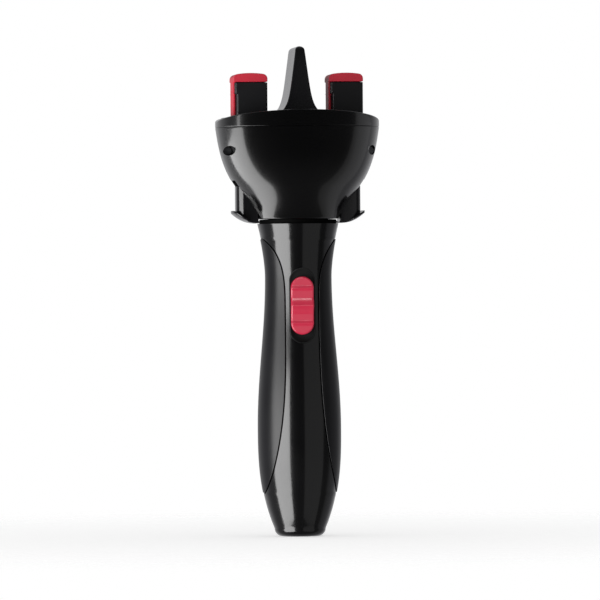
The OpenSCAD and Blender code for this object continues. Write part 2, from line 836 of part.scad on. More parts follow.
module funnel_solid() {
    translate([0, 0, head_z]) rotate_extrude()
        polygon(concat([[0, 0]], [for (h = funnel_steps) [funnel_r(h), h]], [[0, funnel_h]]));
}

module funnel_hollow() {
    translate([0, 0, head_z]) rotate_extrude() polygon(concat(
        [[0, funnel_floor], [funnel_r(funnel_floor) - funnel_wall, funnel_floor]],
        [for (h = funnel_steps) if (h > funnel_floor) [funnel_r(h) - funnel_wall, h]],
        [[rim_r - funnel_wall, funnel_h + 1], [0, funnel_h + 1]]));
}

lever_in = 20.5;                                   // inner face of a lever
lever_r = funnel_r(window_h) - funnel_wall - gap;  // outer radius of a lever
window_w = lever_w + 2 * gap;
guide_t = 2;
ear_t = 2;                                         // thickness of a lever's ears
foot_t = 2;                                        // thickness of a rod's foot
spindle_drop = 0.5;                                // how far the spindles reach below the carrier
lift_spare = 2.7;                                  // room left above a rod's foot when it is lifted
lever_top = carrier_z - spindle_drop - lift_spare - foot_t - gap - lever_travel;
guide_h = lever_top - ear_t - gap - head_z;        // height of the guide ribs above the base
ledge_z = carrier_z - seat - 2.5;
carrier_r = funnel_r(carrier_z - head_z) - funnel_wall - gap;
ledge_in = lever_r + 1.2;
carrier_screw = [9, 31.2];
head_boss_r = 3.4;
head_screw_r = 1;
head_screw_head_r = 2.1;
head_recess_r = 2.4;
head_seat_y = -4.5;                                // seat of the screws' heads
head_screw_l = 11.5;
head_boss_end = head_seat_y + head_screw_l + 1.5;

module funnel() {
    difference() {
        union() {
            difference() {
                funnel_solid();
                funnel_hollow();
            }
            intersection() {
                funnel_solid();
                union() {
                    for (side = [-1, 1]) {
                        translate([side > 0 ? lever_in : -60, -window_w / 2 - guide_t, head_z])
                            cube([60 - lever_in, window_w + 2 * guide_t, guide_h]);
                        along_y(side * head_screw_x, head_z + head_screw_h, -20, head_boss_end,
                                head_boss_r);
                    }
                    for (x = [-1, 1]) for (y = [-1, 1])
                        translate([x * carrier_screw[0], y * carrier_screw[1], ledge_z - 5])
                            cylinder(h = carrier_z - seat - ledge_z + 5, r = 3);
                    translate([0, 0, ledge_z]) difference() {
                        cylinder(h = 2.5, r = rim_r);
                        translate([0, 0, -1]) cylinder(h = 5, r = ledge_in);
                    }
                }
            }
        }
        translate([0, 0, head_z - 1]) cylinder(h = funnel_floor + 2, r = bush_out + seat);
        for (side = [0, 1]) mirror([side, 0, 0])
            translate([lever_in - gap, -window_w / 2, head_z - 1]) cube([40, window_w, window_h + 1]);
        for (side = [-1, 1]) {
            along_y(side * head_screw_x, head_z + head_screw_h, -60, head_seat_y, head_recess_r);
            along_y(side * head_screw_x, head_z + head_screw_h, head_seat_y - 1,
                    head_seat_y + head_screw_l + 0.3, head_screw_r + seat / 2);
        }
        for (x = [-1, 1]) for (y = [-1, 1])
            translate([x * carrier_screw[0], y * carrier_screw[1], carrier_z - 6.3])
                cylinder(h = 8, r = head_screw_r + seat / 2);
    }
}

module front_funnel() { color(black) front_half() funnel(); }
module rear_funnel() { color(black) rear_half() funnel(); }

module head_screws() {
    color(steel) for (side = [-1, 1]) {
        x = side * head_screw_x;
        z = head_z + head_screw_h;
        along_y(x, z, head_seat_y - seat, head_seat_y + head_screw_l, head_screw_r);
        difference() {
            along_y(x, z, head_seat_y - 1.6, head_seat_y - seat / 2, head_screw_head_r);
            translate([x - 0.3, head_seat_y - 2.6, z - 1.4]) cube([0.6, 1.7, 2.8]);
            translate([x - 1.4, head_seat_y - 2.6, z - 0.3]) cube([2.8, 1.7, 0.6]);
        }
    }
}

module gear_carrier() {
    trim = head_screw_x - head_boss_r - gap;
    color(white) difference() {
        intersection() {
            translate([0, 0, carrier_z]) cylinder(h = carrier_t, r = carrier_r);
            translate([-trim, -60, carrier_z - 1]) cube([2 * trim, 120, carrier_t + 2]);
        }
        for (x = [-clip_x, 0, clip_x])
            translate([x, 0, carrier_z - 1]) cylinder(h = carrier_t + 2, r = spindle_r + run);
        for (x = [-1, 1]) for (y = [-1, 1])
            translate([x * carrier_screw[0], y * carrier_screw[1], carrier_z - 1])
                cylinder(h = carrier_t + 2, r = head_screw_r + seat);
    }
}

module carrier_screws() {
    top = carrier_z + carrier_t;
    color(steel) for (x = [-1, 1]) for (y = [-1, 1])
        translate([x * carrier_screw[0], y * carrier_screw[1], 0]) {
            translate([0, 0, carrier_z - 6]) cylinder(h = top + 0.2 - carrier_z + 6, r = head_screw_r);
            translate([0, 0, top + seat / 2]) cylinder(h = 1.4, r = head_screw_head_r);
        }
}

// --- Lid and divider ---------------------------------------------------------------------------
arch_step = 7.5;

// The space under the lid's arch, drawn in by wall
module under_arch(wall) {
    r = rim_r - wall;
    z = rim_z + lid_side_h - wall;
    translate([0, 60, 0]) rotate([90, 0, 0]) linear_extrude(120) polygon(concat(
        [for (a = [0 : arch_step : 180]) [r * cos(a), z + lid_rise * sin(a)]],
        [[-r, rim_z - 10], [r, rim_z - 10]]));
}

hole_r = disc_r + gap;
collar_wall = 1;
table_flange_t = 1.3;
flange_top = rim_z + gap;                          // top of the turntables' hidden flange
table_flange_r = disc_r + 0.7;
lid_lip = 2.5;                                     // how far the lid reaches into the funnel
lip_r = funnel_r(funnel_h - lid_lip) - funnel_wall - seat;

module lid() {
    color(black) difference() {
        union() {
            difference() {
                intersection() {
                    translate([0, 0, rim_z + seat / 2]) cylinder(h = 30, r = rim_r);
                    under_arch(0);
                }
                intersection() {
                    translate([0, 0, rim_z - 1]) cylinder(h = 30, r = rim_r - lid_wall);
                    under_arch(lid_wall);
                }
            }
            intersection() {
                for (side = [-1, 1]) translate([side * clip_x, 0, flange_top + gap])
                    cylinder(h = 20, r = hole_r + collar_wall);
                translate([0, 0, rim_z]) cylinder(h = 30, r = rim_r - lid_wall / 2);
                under_arch(lid_wall / 2);
            }
            difference() {
                union() {
                    translate([0, 0, rim_z - lid_lip]) cylinder(h = lid_lip + 1, r = lip_r);
                    translate([0, 0, rim_z + seat / 2]) cylinder(h = 1, r = rim_r - lid_wall / 2);
                }
                translate([0, 0, rim_z - lid_lip - 1]) cylinder(h = lid_lip + 3, r = lip_r - 1.4);
                translate([-60, -disc_r - 4, rim_z - lid_lip - 1])
                    cube([120, 2 * (disc_r + 4), lid_lip + 3]);
            }
        }
        for (side = [-1, 1]) translate([side * clip_x, 0, rim_z - 1]) cylinder(h = 30, r = hole_r);
    }
}

crown_z = rim_z + lid_side_h + lid_rise;
divider_top = crown_z + divider_h;
divider_slope = 0.135;
divider_flare = 2.3;
divider_flare_h = 3.4;
divider_lean = 0.04;                               // how much each end leans in, per mm of height

function divider_half(z) =
    divider_tip / 2 + divider_slope * (divider_top - z)
    + divider_flare * exp(-(z - crown_z) / divider_flare_h);

module divider() {
    tip_z = divider_top - divider_tip / 2;
    rise = [for (k = [0 : 18]) let (s = k / 18) crown_z - 1 + (tip_z - crown_z + 1) * s * s];
    half_d = divider_depth / 2;
    end_r = 6;
    color(soft_black) difference() {
        intersection() {
            translate([0, 60, 0]) rotate([90, 0, 0]) linear_extrude(120) polygon(concat(
                [for (z = rise) [divider_half(z), z]],
                [for (a = [20 : 20 : 160])
                    [divider_half(tip_z) * cos(a), tip_z + divider_tip / 2 * sin(a)]],
                [for (k = [18 : -1 : 0]) [-divider_half(rise[k]), rise[k]]]));
            translate([-60, 0, 0]) rotate([90, 0, 90]) linear_extrude(120) difference() {
                polygon([[-half_d, crown_z - 2], [half_d, crown_z - 2],
                         [half_d - divider_lean * divider_h, divider_top + 1],
                         [-half_d + divider_lean * divider_h, divider_top + 1]]);
                for (side = [-1, 1]) translate([side * (half_d - divider_lean * divider_h - end_r),
                                                divider_top - end_r])
                    difference() {
                        translate([side > 0 ? 0 : -20, 0]) square(20);
                        circle(end_r);
                    }
            }
        }
        under_arch(0);
    }
}

// --- Sun gear and clutch -----------------------------------------------------------------------
clutch_h = 8;
clutch_r = 4;
sun_bottom = carrier_z - 8.5;
hub_r = 7;

module sun_gear() {
    color(white) difference() {
        union() {
            translate([0, 0, drive_z]) spur(sun_teeth, drive_m, drive_t);
            translate([0, 0, carrier_z + carrier_t + gap])
                cylinder(h = drive_z - carrier_z - carrier_t - gap + 0.1, r = hub_r);
            translate([0, 0, sun_bottom]) cylinder(h = drive_z - sun_bottom, r = spindle_r);
        }
        translate([0, 0, sun_bottom - 1]) cylinder(h = 60, r = output_r + run);
        translate([0, 0, sun_bottom - 1]) cylinder(h = clutch_h + 1, r = clutch_r);
    }
}

module clutch_sleeve() {
    color(steel) translate([0, 0, sun_bottom]) bored(output_r + run, 0, clutch_h)
        cylinder(h = clutch_h - seat, r = clutch_r - seat / 2);
}

// --- Twisters: turntable, planet gear, clip body, hook, rod and spring --------------------------
disc_z = rim_z + disc_h;                           // face of the turntables
rod_r = rod_d / 2;
spring_wire_r = 0.4;
spring_r = rod_r + spring_wire_r + 0.9;
spring_well_r = spring_r + spring_wire_r + 0.35;
well_top = rim_z - 2.5;
rod_bottom = lever_top + gap;
clip_top = disc_z + clip_h;
clip_left = -clip_w / 2 + 0.4;                     // left face of a clip's body
cheek_t = 0.8;
cheek_h = 5.6;

module round_rect(x0, x1, y0, y1, r) {
    translate([x0 + r, y0]) square([x1 - x0 - 2 * r, y1 - y0]);
    translate([x0, y0 + r]) square([x1 - x0, y1 - y0 - 2 * r]);
    for (x = [x0 + r, x1 - r]) for (y = [y0 + r, y1 - r]) translate([x, y]) circle(r);
}

module turntable() {
    color(black) difference() {
        union() {
            translate([0, 0, flange_top - 0.1]) cylinder(h = disc_z - flange_top + 0.1, r = disc_r);
            translate([0, 0, flange_top - table_flange_t])
                cylinder(h = table_flange_t, r = table_flange_r);
            translate([0, 0, carrier_z + carrier_t + gap])
                cylinder(h = flange_top - carrier_z - carrier_t - gap - 0.5, r = hub_r);
            translate([0, 0, carrier_z - spindle_drop]) cylinder(h = 10, r = spindle_r);
        }
        translate([0, 0, carrier_z - 2]) cylinder(h = 60, r = rod_r + run);
        translate([0, 0, carrier_z - 2]) cylinder(h = well_top - carrier_z + 2, r = spring_well_r);
    }
}

// The planet is turned half a tooth, so that a gap of it faces the sun gear's tooth
module planet_gear() {
    color(white) translate([0, 0, drive_z]) rotate(180 / planet_teeth)
        bored(hub_r + seat / 2, 0, drive_t) spur(planet_teeth, drive_m, drive_t);
}

module clip_body() {
    right = clip_left + clip_w;
    color(black) difference() {
        union() {
            translate([0, 0, disc_z]) linear_extrude(clip_h)
                round_rect(clip_left, right, -clip_d / 2, clip_d / 2, 1.2);
            for (side = [0, 1]) mirror([0, side, 0])
                translate([clip_left - cheek_t, leg_d / 2 + gap, clip_top - cheek_h])
                    cube([cheek_t + 1.4, clip_d / 2 - leg_d / 2 - gap, cheek_h]);
        }
        translate([0, 0, disc_z - 1]) cylinder(h = clip_h + 2, r = rod_r + run);
    }
}

cap_round = 2;
cap_crown_r = 45;

module hook() {
    left = clip_left - 0.2 - leg_t;
    right = clip_left + clip_w;
    mid = (left + right) / 2;
    z0 = clip_top + gap;
    socket_t = 2.4;
    color(red) difference() {
        union() {
            translate([0, clip_d / 2, 0]) rotate([90, 0, 0]) linear_extrude(clip_d) intersection() {
                union() {
                    round_rect(left, right, z0, z0 + cap_h, cap_round);
                    translate([left, z0]) square([right - left, cap_round]);
                }
                translate([mid, z0 + cap_h - cap_crown_r]) circle(cap_crown_r, $fn = 360);
            }
            translate([left, -leg_d / 2, disc_z + 1]) cube([leg_t, leg_d, z0 + 1.5 - disc_z - 1]);
        }
        translate([0, 0, z0 - 1]) cylinder(h = socket_t + 1, r = rod_r);
    }
}

module rod() {
    color(steel) {
        translate([0, 0, rod_bottom]) cylinder(h = clip_top + gap + 2.4 - rod_bottom, r = rod_r);
        translate([0, 0, rod_bottom]) cylinder(h = foot_t, r = spring_well_r);
    }
}

module hook_spring() {
    z0 = rod_bottom + foot_t + 0.05;
    color(steel) translate([0, 0, z0]) coil(spring_r, spring_wire_r, 7, well_top - 0.05 - z0);
}

module left_turntable() { translate([-clip_x, 0, 0]) turntable(); }
module left_planet_gear() { translate([-clip_x, 0, 0]) planet_gear(); }
module left_clip_body() { translate([-clip_x, 0, 0]) clip_body(); }
module left_hook() { translate([-clip_x, 0, 0]) hook(); }
module left_rod() { translate([-clip_x, 0, 0]) rod(); }
module left_spring() { translate([-clip_x, 0, 0]) hook_spring(); }
module right_turntable() { translate([clip_x, 0, 0]) turntable(); }
module right_planet_gear() { translate([clip_x, 0, 0]) planet_gear(); }
module right_clip_body() { translate([clip_x, 0, 0]) clip_body(); }
module right_hook() { translate([clip_x, 0, 0]) hook(); }
module right_rod() { translate([clip_x, 0, 0]) rod(); }
module right_spring() { translate([clip_x, 0, 0]) hook_spring(); }

// --- Levers ------------------------------------------------------------------------------------
flange_in = funnel_base_r + gap;                   // inner end of the finger flange
flange_low = 2.1;                                  // depth of its inner end below the funnel
flange_rise = 5.1;                                 // rise from there to the lip
flange_curve = 2.3;
wide_from = 27;                                    // the flange is wider than the post beyond this
ear_x = 26;                                        // outer end of the ears that stop the lever's fall
ear_w = 2;

function flange_z(r) =
    head_z - flange_low + flange_rise * pow((r - flange_in) / (flange_r - flange_in), flange_curve);

module lever() {
    r_list = [for (k = [0 : 10]) flange_in + (flange_r - flange_in) * k / 10];
    round_r = 3.4;
    color(black) {
        difference() {
            translate([0, 0, head_z - flange_low]) linear_extrude(lever_top - head_z + flange_low)
                intersection() {
                    union() {
                        round_rect(lever_in, lever_r, -lever_w / 2, lever_w / 2, round_r);
                        translate([lever_in, -lever_w / 2]) square([round_r, lever_w]);
                    }
                    circle(lever_r);
                }
            rotate_extrude() polygon(concat(
                [[0, head_z - 20]], [[flange_r, head_z - 20]],
                [for (k = [10 : -1 : 0]) [r_list[k], flange_z(r_list[k]) + flange_t / 2]],
                [[0, head_z - flange_low + flange_t / 2]]));
            translate([lever_in - 1, -lever_w / 2 + lever_wall, head_z + 2])
                cube([lever_r - lever_in - lever_wall + 1, lever_w - 2 * lever_wall,
                      lever_top - head_z - 2 - lever_wall]);
        }
        intersection() {
            rotate_extrude() polygon(concat(
                [for (r = r_list) [r, flange_z(r)]],
                [for (k = [10 : -1 : 0]) [r_list[k], flange_z(r_list[k]) + flange_t]]));
            union() {
                translate([lever_in, -lever_w / 2, head_z - 10]) cube([60, lever_w, 40]);
                translate([wide_from, -flange_w / 2, head_z - 10]) cube([60, flange_w, 40]);
            }
        }
        translate([lever_in, -window_w / 2 - ear_w, lever_top - ear_t])
            cube([ear_x - lever_in, window_w + 2 * ear_w, ear_t]);
    }
}

module right_lever() { lever(); }
module left_lever() { mirror([1, 0, 0]) lever(); }

// --- Every piece -------------------------------------------------------------------------------
front_shell();
rear_shell();
case_screws();
left_grip();
right_grip();
battery_cover();
battery_tray();
battery_cells();
battery_springs();
battery_contacts();
battery_leads();
switch_bezel();
slider();
slider_skirt();
switch_knob();
slide_switch();
circuit_board();
board_screws();
motor();
motor_leads();
motor_pinion();
lower_side_gear();
middle_gear();
upper_side_gear();
side_pin();
output_shaft();
gearbox_housing();
gearbox_cap();
retaining_ring();
head_bush();
front_funnel();
rear_funnel();
head_screws();
gear_carrier();
carrier_screws();
lid();
divider();
sun_gear();
clutch_sleeve();
left_turntable();
left_planet_gear();
left_clip_body();
left_hook();
left_rod();
left_spring();
left_lever();
right_turntable();
right_planet_gear();
right_clip_body();
right_hook();
right_rod();
right_spring();
right_lever();
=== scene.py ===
# Automatic hair braider: a battery handle under a turning funnel head with two twisting clips.
# Shapes are worked out in a maker's millimetres and turned into metres where a mesh is made.
import json
import math

import bmesh
import bpy
import numpy as np
from mathutils import Matrix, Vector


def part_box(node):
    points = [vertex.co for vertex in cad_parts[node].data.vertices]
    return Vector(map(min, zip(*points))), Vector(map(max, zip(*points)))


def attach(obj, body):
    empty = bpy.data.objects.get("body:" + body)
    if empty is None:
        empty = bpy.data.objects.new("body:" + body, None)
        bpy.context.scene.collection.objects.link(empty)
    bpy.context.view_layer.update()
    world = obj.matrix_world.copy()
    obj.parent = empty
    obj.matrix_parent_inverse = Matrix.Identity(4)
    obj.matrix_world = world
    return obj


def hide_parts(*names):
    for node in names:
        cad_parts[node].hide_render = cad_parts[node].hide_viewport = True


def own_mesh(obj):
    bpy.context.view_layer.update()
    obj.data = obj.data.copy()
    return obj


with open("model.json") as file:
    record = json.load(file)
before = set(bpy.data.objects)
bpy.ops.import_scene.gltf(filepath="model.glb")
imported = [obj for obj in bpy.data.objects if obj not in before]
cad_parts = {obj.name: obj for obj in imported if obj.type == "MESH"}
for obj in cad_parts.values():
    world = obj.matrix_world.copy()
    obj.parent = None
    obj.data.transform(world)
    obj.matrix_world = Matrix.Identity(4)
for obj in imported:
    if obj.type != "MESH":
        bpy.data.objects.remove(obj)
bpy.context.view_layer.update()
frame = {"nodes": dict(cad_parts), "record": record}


# --- Handle casing ------------------------------------------------------------------------------
# Two halves of polished black ABS, moulded, and screwed together from behind. The sides have
# pockets for the grips, the front an opening for the switch, and the back a recess for the
# battery cover with the opening of the battery bay in it.

def mm_box(node):
    """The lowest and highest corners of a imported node, in millimetres."""
    low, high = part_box(node)
    return np.array(low) * 1000, np.array(high) * 1000


handle_h = mm_box("front_shell")[1][2]
foot_r, foot_round, foot_curve = 11, 4, 2.7
belly_r, belly_z = 20.5, 54
waist_r, waist_z = 16.3, 130
neck_r, neck_curve = 20.3, 1.6
wall_t, seam = 3.0, 0.1
casing_ease, edge_ease = 0.28, 0.3
row_step, column_count = 1.6, 40
rounded_from, sharp_from = 38, 35

left_and_right = ((-1, "left"), (1, "right"))

grip_z0, grip_z1 = 21.5, 148.8
grip_sink = 1.2
grip_end = 0.985
strip_half, strip_z = 8.25, 112
lower_sweep, upper_sweep = 2.9, 3.7
grip_back = math.sin(math.radians(60))

cover_z0, cover_z1 = 24, 82.5
cover_angle = math.radians(54)
cover_sink = 1.7


def handle_r(z):
    """Radius of the handle at height z."""
    if z < belly_z:
        return foot_r + (belly_r - foot_r) * (1 - (1 - max(z, 0) / belly_z) ** foot_curve)
    if z < waist_z:
        share = (z - belly_z) / (waist_z - belly_z)
        return belly_r + (waist_r - belly_r) * (1 - math.cos(math.pi * share)) / 2
    share = min(1, (z - waist_z) / (handle_h - waist_z))
    return waist_r + (neck_r - waist_r) * share ** neck_curve


def front_edge(z):
    """Distance of a grip's front edge from the middle plane."""
    low = z < strip_z
    end_z, sweep = (grip_z0, lower_sweep) if low else (grip_z1, upper_sweep)
    share = (strip_z - z) / (strip_z - end_z)
    return strip_half + (grip_end * handle_r(end_z) - strip_half) * share ** sweep


def back_edge(z):
    """Distance of a grip's back edge from the middle plane."""
    share = abs(z - (grip_z0 + grip_z1) / 2) / (grip_z1 - grip_z0) * 2
    return handle_r(z) * (grip_back + (grip_end - grip_back) * share ** 6)


def edge_angle(edge, z):
    """Angle of a grip's edge from the middle plane, which runs on unchanged past the grip's ends."""
    z = min(max(z, grip_z0), grip_z1)
    return math.asin(edge(z) / handle_r(z))


def spaced(stops, step):
    """Values from the first stop to the last, each with its span's number; inner stops come twice."""
    marks = []
    for span, (a, b) in enumerate(zip(stops, stops[1:])):
        count = max(1, round((b - a) / step))
        marks += [(a + (b - a) * k / count, span) for k in range(count + 1)]
    return marks


def shell(outer, inner, keep=None):
    """A wall between two grids of points, of all their cells or of those that keep marks."""
    rows, columns = len(outer), len(outer[0])
    kept = np.ones((rows - 1, columns - 1), bool) if keep is None else np.array(keep)
    count = rows * columns
    faces = []

    def there(i, j):
        return 0 <= i < rows - 1 and 0 <= j < columns - 1 and kept[i, j]

    for i, j in np.argwhere(kept):
        a, d = i * columns + j, (i + 1) * columns + j
        b, c = a + 1, d + 1
        faces += [(a, b, c, d), (d + count, c + count, b + count, a + count)]
        for near, p, q in ((there(i - 1, j), b, a), (there(i + 1, j), d, c),
                           (there(i, j - 1), a, d), (there(i, j + 1), c, b)):
            if not near:
                faces.append((p, q, q + count, p + count))
    points = [p for grid in (outer, inner) for row in grid for p in row]
    return points, faces


def circle(count):
    """Angles of that many points round a circle."""
    return [2 * math.pi * k / count for k in range(count)]


def arc(x, y, radius, start, stop, steps=6):
    """Points round an arc, between two angles in degrees."""
    angles = [math.radians(start + (stop - start) * k / steps) for k in range(steps + 1)]
    return [(x + radius * math.cos(a), y + radius * math.sin(a)) for a in angles]


def hoops(rows, columns, closed=False):
    """Faces from ring to ring of points, and when closed from the last ring to the first too."""
    return [[i * columns + j, i * columns + (j + 1) % columns,
             (i + 1) % rows * columns + (j + 1) % columns, (i + 1) % rows * columns + j]
            for i in range(rows if closed else rows - 1) for j in range(columns)]


def turned(profile, columns, middle=(0, 0)):
    """A solid turned about a vertical line from a profile of (radius, height).

    A profile that starts on the line ends on it, and any other is closed into a ring."""
    points = [(middle[0] + r * math.cos(a), middle[1] + r * math.sin(a), z)
              for r, z in profile for a in circle(columns)]
    return points, hoops(len(profile), columns, profile[0][0] > 0)


def along_y(shape, x, z):
    """Lays a turned shape down, so that its heights run along +Y from the plane y = 0."""
    return [(x + p[0], p[2], z - p[1]) for p in shape[0]], shape[1]


def make(name, *shapes):
    """One closed mesh of the shapes, in metres, with its normals outwards."""
    points, faces = [], []
    for shape_points, shape_faces in shapes:
        faces += [[k + len(points) for k in face] for face in shape_faces]
        points += [tuple(c / 1000 for c in p) for p in shape_points]
    mesh = bpy.data.meshes.new(name)
    mesh.from_pydata(points, [], faces)
    work = bmesh.new()
    work.from_mesh(mesh)
    bmesh.ops.remove_doubles(work, verts=work.verts, dist=2e-6)
    bmesh.ops.recalc_face_normals(work, faces=work.faces)
    work.to_mesh(mesh)
    work.free()
    piece = bpy.data.objects.new(name, mesh)
    bpy.context.scene.collection.objects.link(piece)
    return piece


def settle(piece):
    """Turns the piece's modifiers into its mesh."""
    view = bpy.context.evaluated_depsgraph_get()
    mesh = bpy.data.meshes.new_from_object(piece.evaluated_get(view))
    piece.modifiers.clear()
    piece.data = mesh


def carve(piece, tool, how="DIFFERENCE"):
    """Cuts, joins or trims the piece with a tool, which is used up."""
    step = piece.modifiers.new("carve", "BOOLEAN")
    step.object, step.operation, step.solver = tool, how, "MANIFOLD"
    settle(piece)
    bpy.data.objects.remove(tool)


def ease(piece, width, segments=3):
    """Rounds the piece's sharp edges, by a width in millimetres."""
    step = piece.modifiers.new("ease", "BEVEL")
    step.width, step.segments, step.use_clamp_overlap = width / 1000, segments, False
    step.limit_method, step.angle_limit = "ANGLE", math.radians(rounded_from)
    settle(piece)


def dress(piece, body, slot, *nodes):
    """Gives a piece its finish and smooth shading, its body, and the nodes that it stands for."""
    piece.data.materials.clear()
    piece.data.materials.append(finishes[slot])
    piece.data.polygons.foreach_set("use_smooth", [True] * len(piece.data.polygons))
    piece.data.set_sharp_from_angle(angle=math.radians(sharp_from))
    flats = piece.modifiers.new("flats", "WEIGHTED_NORMAL")
    flats.keep_sharp = True
    settle(piece)
    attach(piece, body)
    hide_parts(*nodes)
    return piece


class Wire:
    """A socket of a node, so that maths on it reads as plain sums."""

    def __init__(self, graph, socket):
        self.graph, self.socket = graph, socket

    def maths(self, operation, a, b):
        return self.graph.node("ShaderNodeMath", {"operation": operation}, {0: a, 1: b})

    def __add__(self, other):
        return self.maths("ADD", self, other)

    __radd__ = __add__

    def __sub__(self, other):
        return self.maths("SUBTRACT", self, other)

    def __rsub__(self, other):
        return self.maths("SUBTRACT", other, self)

    def __mul__(self, other):
        return self.maths("MULTIPLY", self, other)

    __rmul__ = __mul__


class Graph:
    """A tree of nodes; its helpers add a node each and hand back the wire from it."""

    def __init__(self, tree):
        self.tree = tree

    def node(self, kind, settings, sockets, output=0):
        """Adds a node: its settings first, then the values or wires of its sockets."""
        made = self.tree.nodes.new(kind)
        for setting, value in settings.items():
            if setting == "stops":
                while len(made.color_ramp.elements) < len(value):
                    made.color_ramp.elements.new(0.5)
                for stop, (place, shade) in zip(made.color_ramp.elements, value):
                    stop.position, stop.color = place, shade
            elif setting == "steps":
                made.color_ramp.interpolation = "CONSTANT"
            else:
                setattr(made, setting, value)
        for socket, value in sockets.items():
            if isinstance(value, Wire):
                self.tree.links.new(value.socket, made.inputs[socket])
            else:
                made.inputs[socket].default_value = value
        return Wire(self, made.outputs[output])

    def ramp(self, share, stops, **settings):
        """A colour or value that follows stops of (place, colour)."""
        return self.node("ShaderNodeValToRGB", {"stops": stops, **settings}, {"Fac": share})

    def blend(self, share, a, b):
        """A colour between a and b."""
        return self.node("ShaderNodeMix", {"data_type": "RGBA"}, {0: share, 6: a, 7: b}, 2)


finishes = {}


class Finish(Graph):
    """A material: one Principled shader and the nodes that feed it."""

    def __init__(self, name, **constants):
        finishes[name] = bpy.data.materials.new(name)
        finishes[name].use_nodes = True
        super().__init__(finishes[name].node_tree)
        self.shader = self.tree.nodes["Principled BSDF"]
        for socket, value in constants.items():
            socket = socket.replace("_", " ").title().replace("Ior", "IOR")
            self.shader.inputs[socket].default_value = value

    def feed(self, socket, wire):
        self.tree.links.new(wire.socket, self.shader.inputs[socket])

    def place(self):
        """Where a point lies in the frame, in metres."""
        return self.node("ShaderNodeTexCoord", {}, {}, "Object")

    def mottle(self, share, shade, dark, light):
        """The colour shade, from dark to light times as bright."""
        self.feed("Base Color", self.blend(share, colour(*[c * dark for c in shade]),
                                           colour(*[min(255, c * light) for c in shade])))

    def noise(self, scale, detail, place=None):
        """Soft patches between 0 and 1, scale of them to a metre."""
        return self.node("ShaderNodeTexNoise", {},
                         {"Vector": place or self.place(), "Scale": scale, "Detail": detail})

    def grain(self, height, depth):
        """Relief of that depth in metres, from a height between 0 and 1."""
        self.feed("Normal", self.node("ShaderNodeBump", {}, {"Height": height, "Distance": depth,
                                                             "Strength": 1.0}))


def colour(red, green, blue):
    """A colour as seen on screen, 0 to 255, made linear."""
    return tuple((c / 255 / 12.92) if c <= 10 else ((c / 255 + 0.055) / 1.055) ** 2.4
                 for c in (red, green, blue)) + (1.0,)


def polished_black(name, shade, roughness, coat):
    """Polished black plastic, with a trace of orange peel, haze and handling marks."""
    finish = Finish(name, ior=1.5, coat_weight=coat, coat_roughness=0.1)
    haze = finish.noise(55, 3)
    specks = finish.noise(900, 1)
    finish.mottle(haze, shade, 0.8, 1.25)
    finish.feed("Roughness", roughness * 0.7 + haze * (roughness * 0.5) + specks * 0.02)
    finish.grain(finish.noise(420, 1), 0.000004)


polished_black("casing_black", (9, 9, 10), 0.2, 0.9)
arc_x = handle_r(foot_round) - foot_round


def foot_row(angle):
    """A row of the casing round the edge of its foot; gives (radius, height) at a depth."""
    return lambda depth: (arc_x + (foot_round - depth) * math.cos(angle),
                          foot_round + (foot_round - depth) * math.sin(angle))


def floor_row(share):
    return lambda depth: (arc_x * share, depth)


def side_row(z):
    return lambda depth: (handle_r(z) - depth, z)


def casing_half(name, side, z_stops, u_stops, angle, sunk):
    """Half of the casing on one side of the seam; sunk gives the pockets' depth in each span."""
    rows = [(floor_row(k / 4), 0, 0) for k in range(4)]
    rows += [(foot_row(math.radians(a)), 0, 0) for a in range(-90, 0, 9)]
    rows += [(side_row(z), z, span) for z, span in spaced(z_stops, row_step)]
    columns = spaced(u_stops, 2 / column_count)

    def point(row, z, u, depth):
        r, height = row(depth)
        turn = angle(u, z, r)
        return r * math.sin(turn), side * max(r * math.cos(turn), seam / 2), height

    outer = [[point(row, z, u, sunk(i, j)) for u, j in columns] for row, z, i in rows]
    inner = [[point(row, z, u, wall_t) for u, j in columns] for row, z, i in rows]
    return make(name, shell(outer, inner))


def half_turn(r):
    """Angle at which a half of radius r meets the seam."""
    return math.acos(min(1, seam / 2 / r)) if r > seam / 2 else 0


def spread(u, *stops):
    """An angle that grows evenly from 0 to the next stop with each 1 of u, to either side."""
    return math.copysign(float(np.interp(abs(u), range(len(stops) + 1), (0, *stops))), u)


def front_turn(u, z, r):
    edge = edge_angle(front_edge, z)
    return spread(u, edge, max(half_turn(r), edge))


def back_turn(u, z, r):
    edge = edge_angle(back_edge, z)
    return spread(u, cover_angle, edge, max(half_turn(r), edge))


front_shell = casing_half(
    "front_shell_piece", -1, [foot_round, grip_z0, grip_z1, handle_h], [-2, -1, 1, 2], front_turn,
    lambda i, j: grip_sink if i == 1 and j != 1 else 0)
rear_shell = casing_half(
    "rear_shell_piece", 1, [foot_round, grip_z0, cover_z0, cover_z1, grip_z1, handle_h],
    [-3, -2, -1, 1, 2, 3], back_turn,
    lambda i, j: grip_sink if i in (1, 2, 3) and j in (0, 4) else cover_sink if i == 2 and j == 2 else 0)
for half in (front_shell, rear_shell):
    ease(half, casing_ease)

# Bosses inside for the two case screws, and posts for the four screws of the board
boss_z = [12, (cover_z1 + mm_box("circuit_board")[0][2]) / 2]
boss_r, boss_seat, pilot_r, recess_r = 3.2, 7, 1.25, 2.6
pilot_end = -9.5
post_r, post_pilot_r, post_pilot_l = 1.4, 0.85, 5.3
post_low, post_high = 2, 4
board_lo, board_hi = mm_box("circuit_board")
posts = [(x, z) for x in (board_lo[0] + post_r, board_hi[0] - post_r)
         for z in (board_lo[2] + post_low, board_hi[2] - post_high)]


def peg(x, z, y0, y1, r):
    """A round bar along Y."""
    return along_y(turned([(0, y0), (r, y0), (r, y1), (0, y1)], 32), x, z)


def skin_y(x, z):
    """Depth of the middle of the casing's wall behind the plane of the seam."""
    return math.sqrt((handle_r(z) - wall_t / 2) ** 2 - x * x)


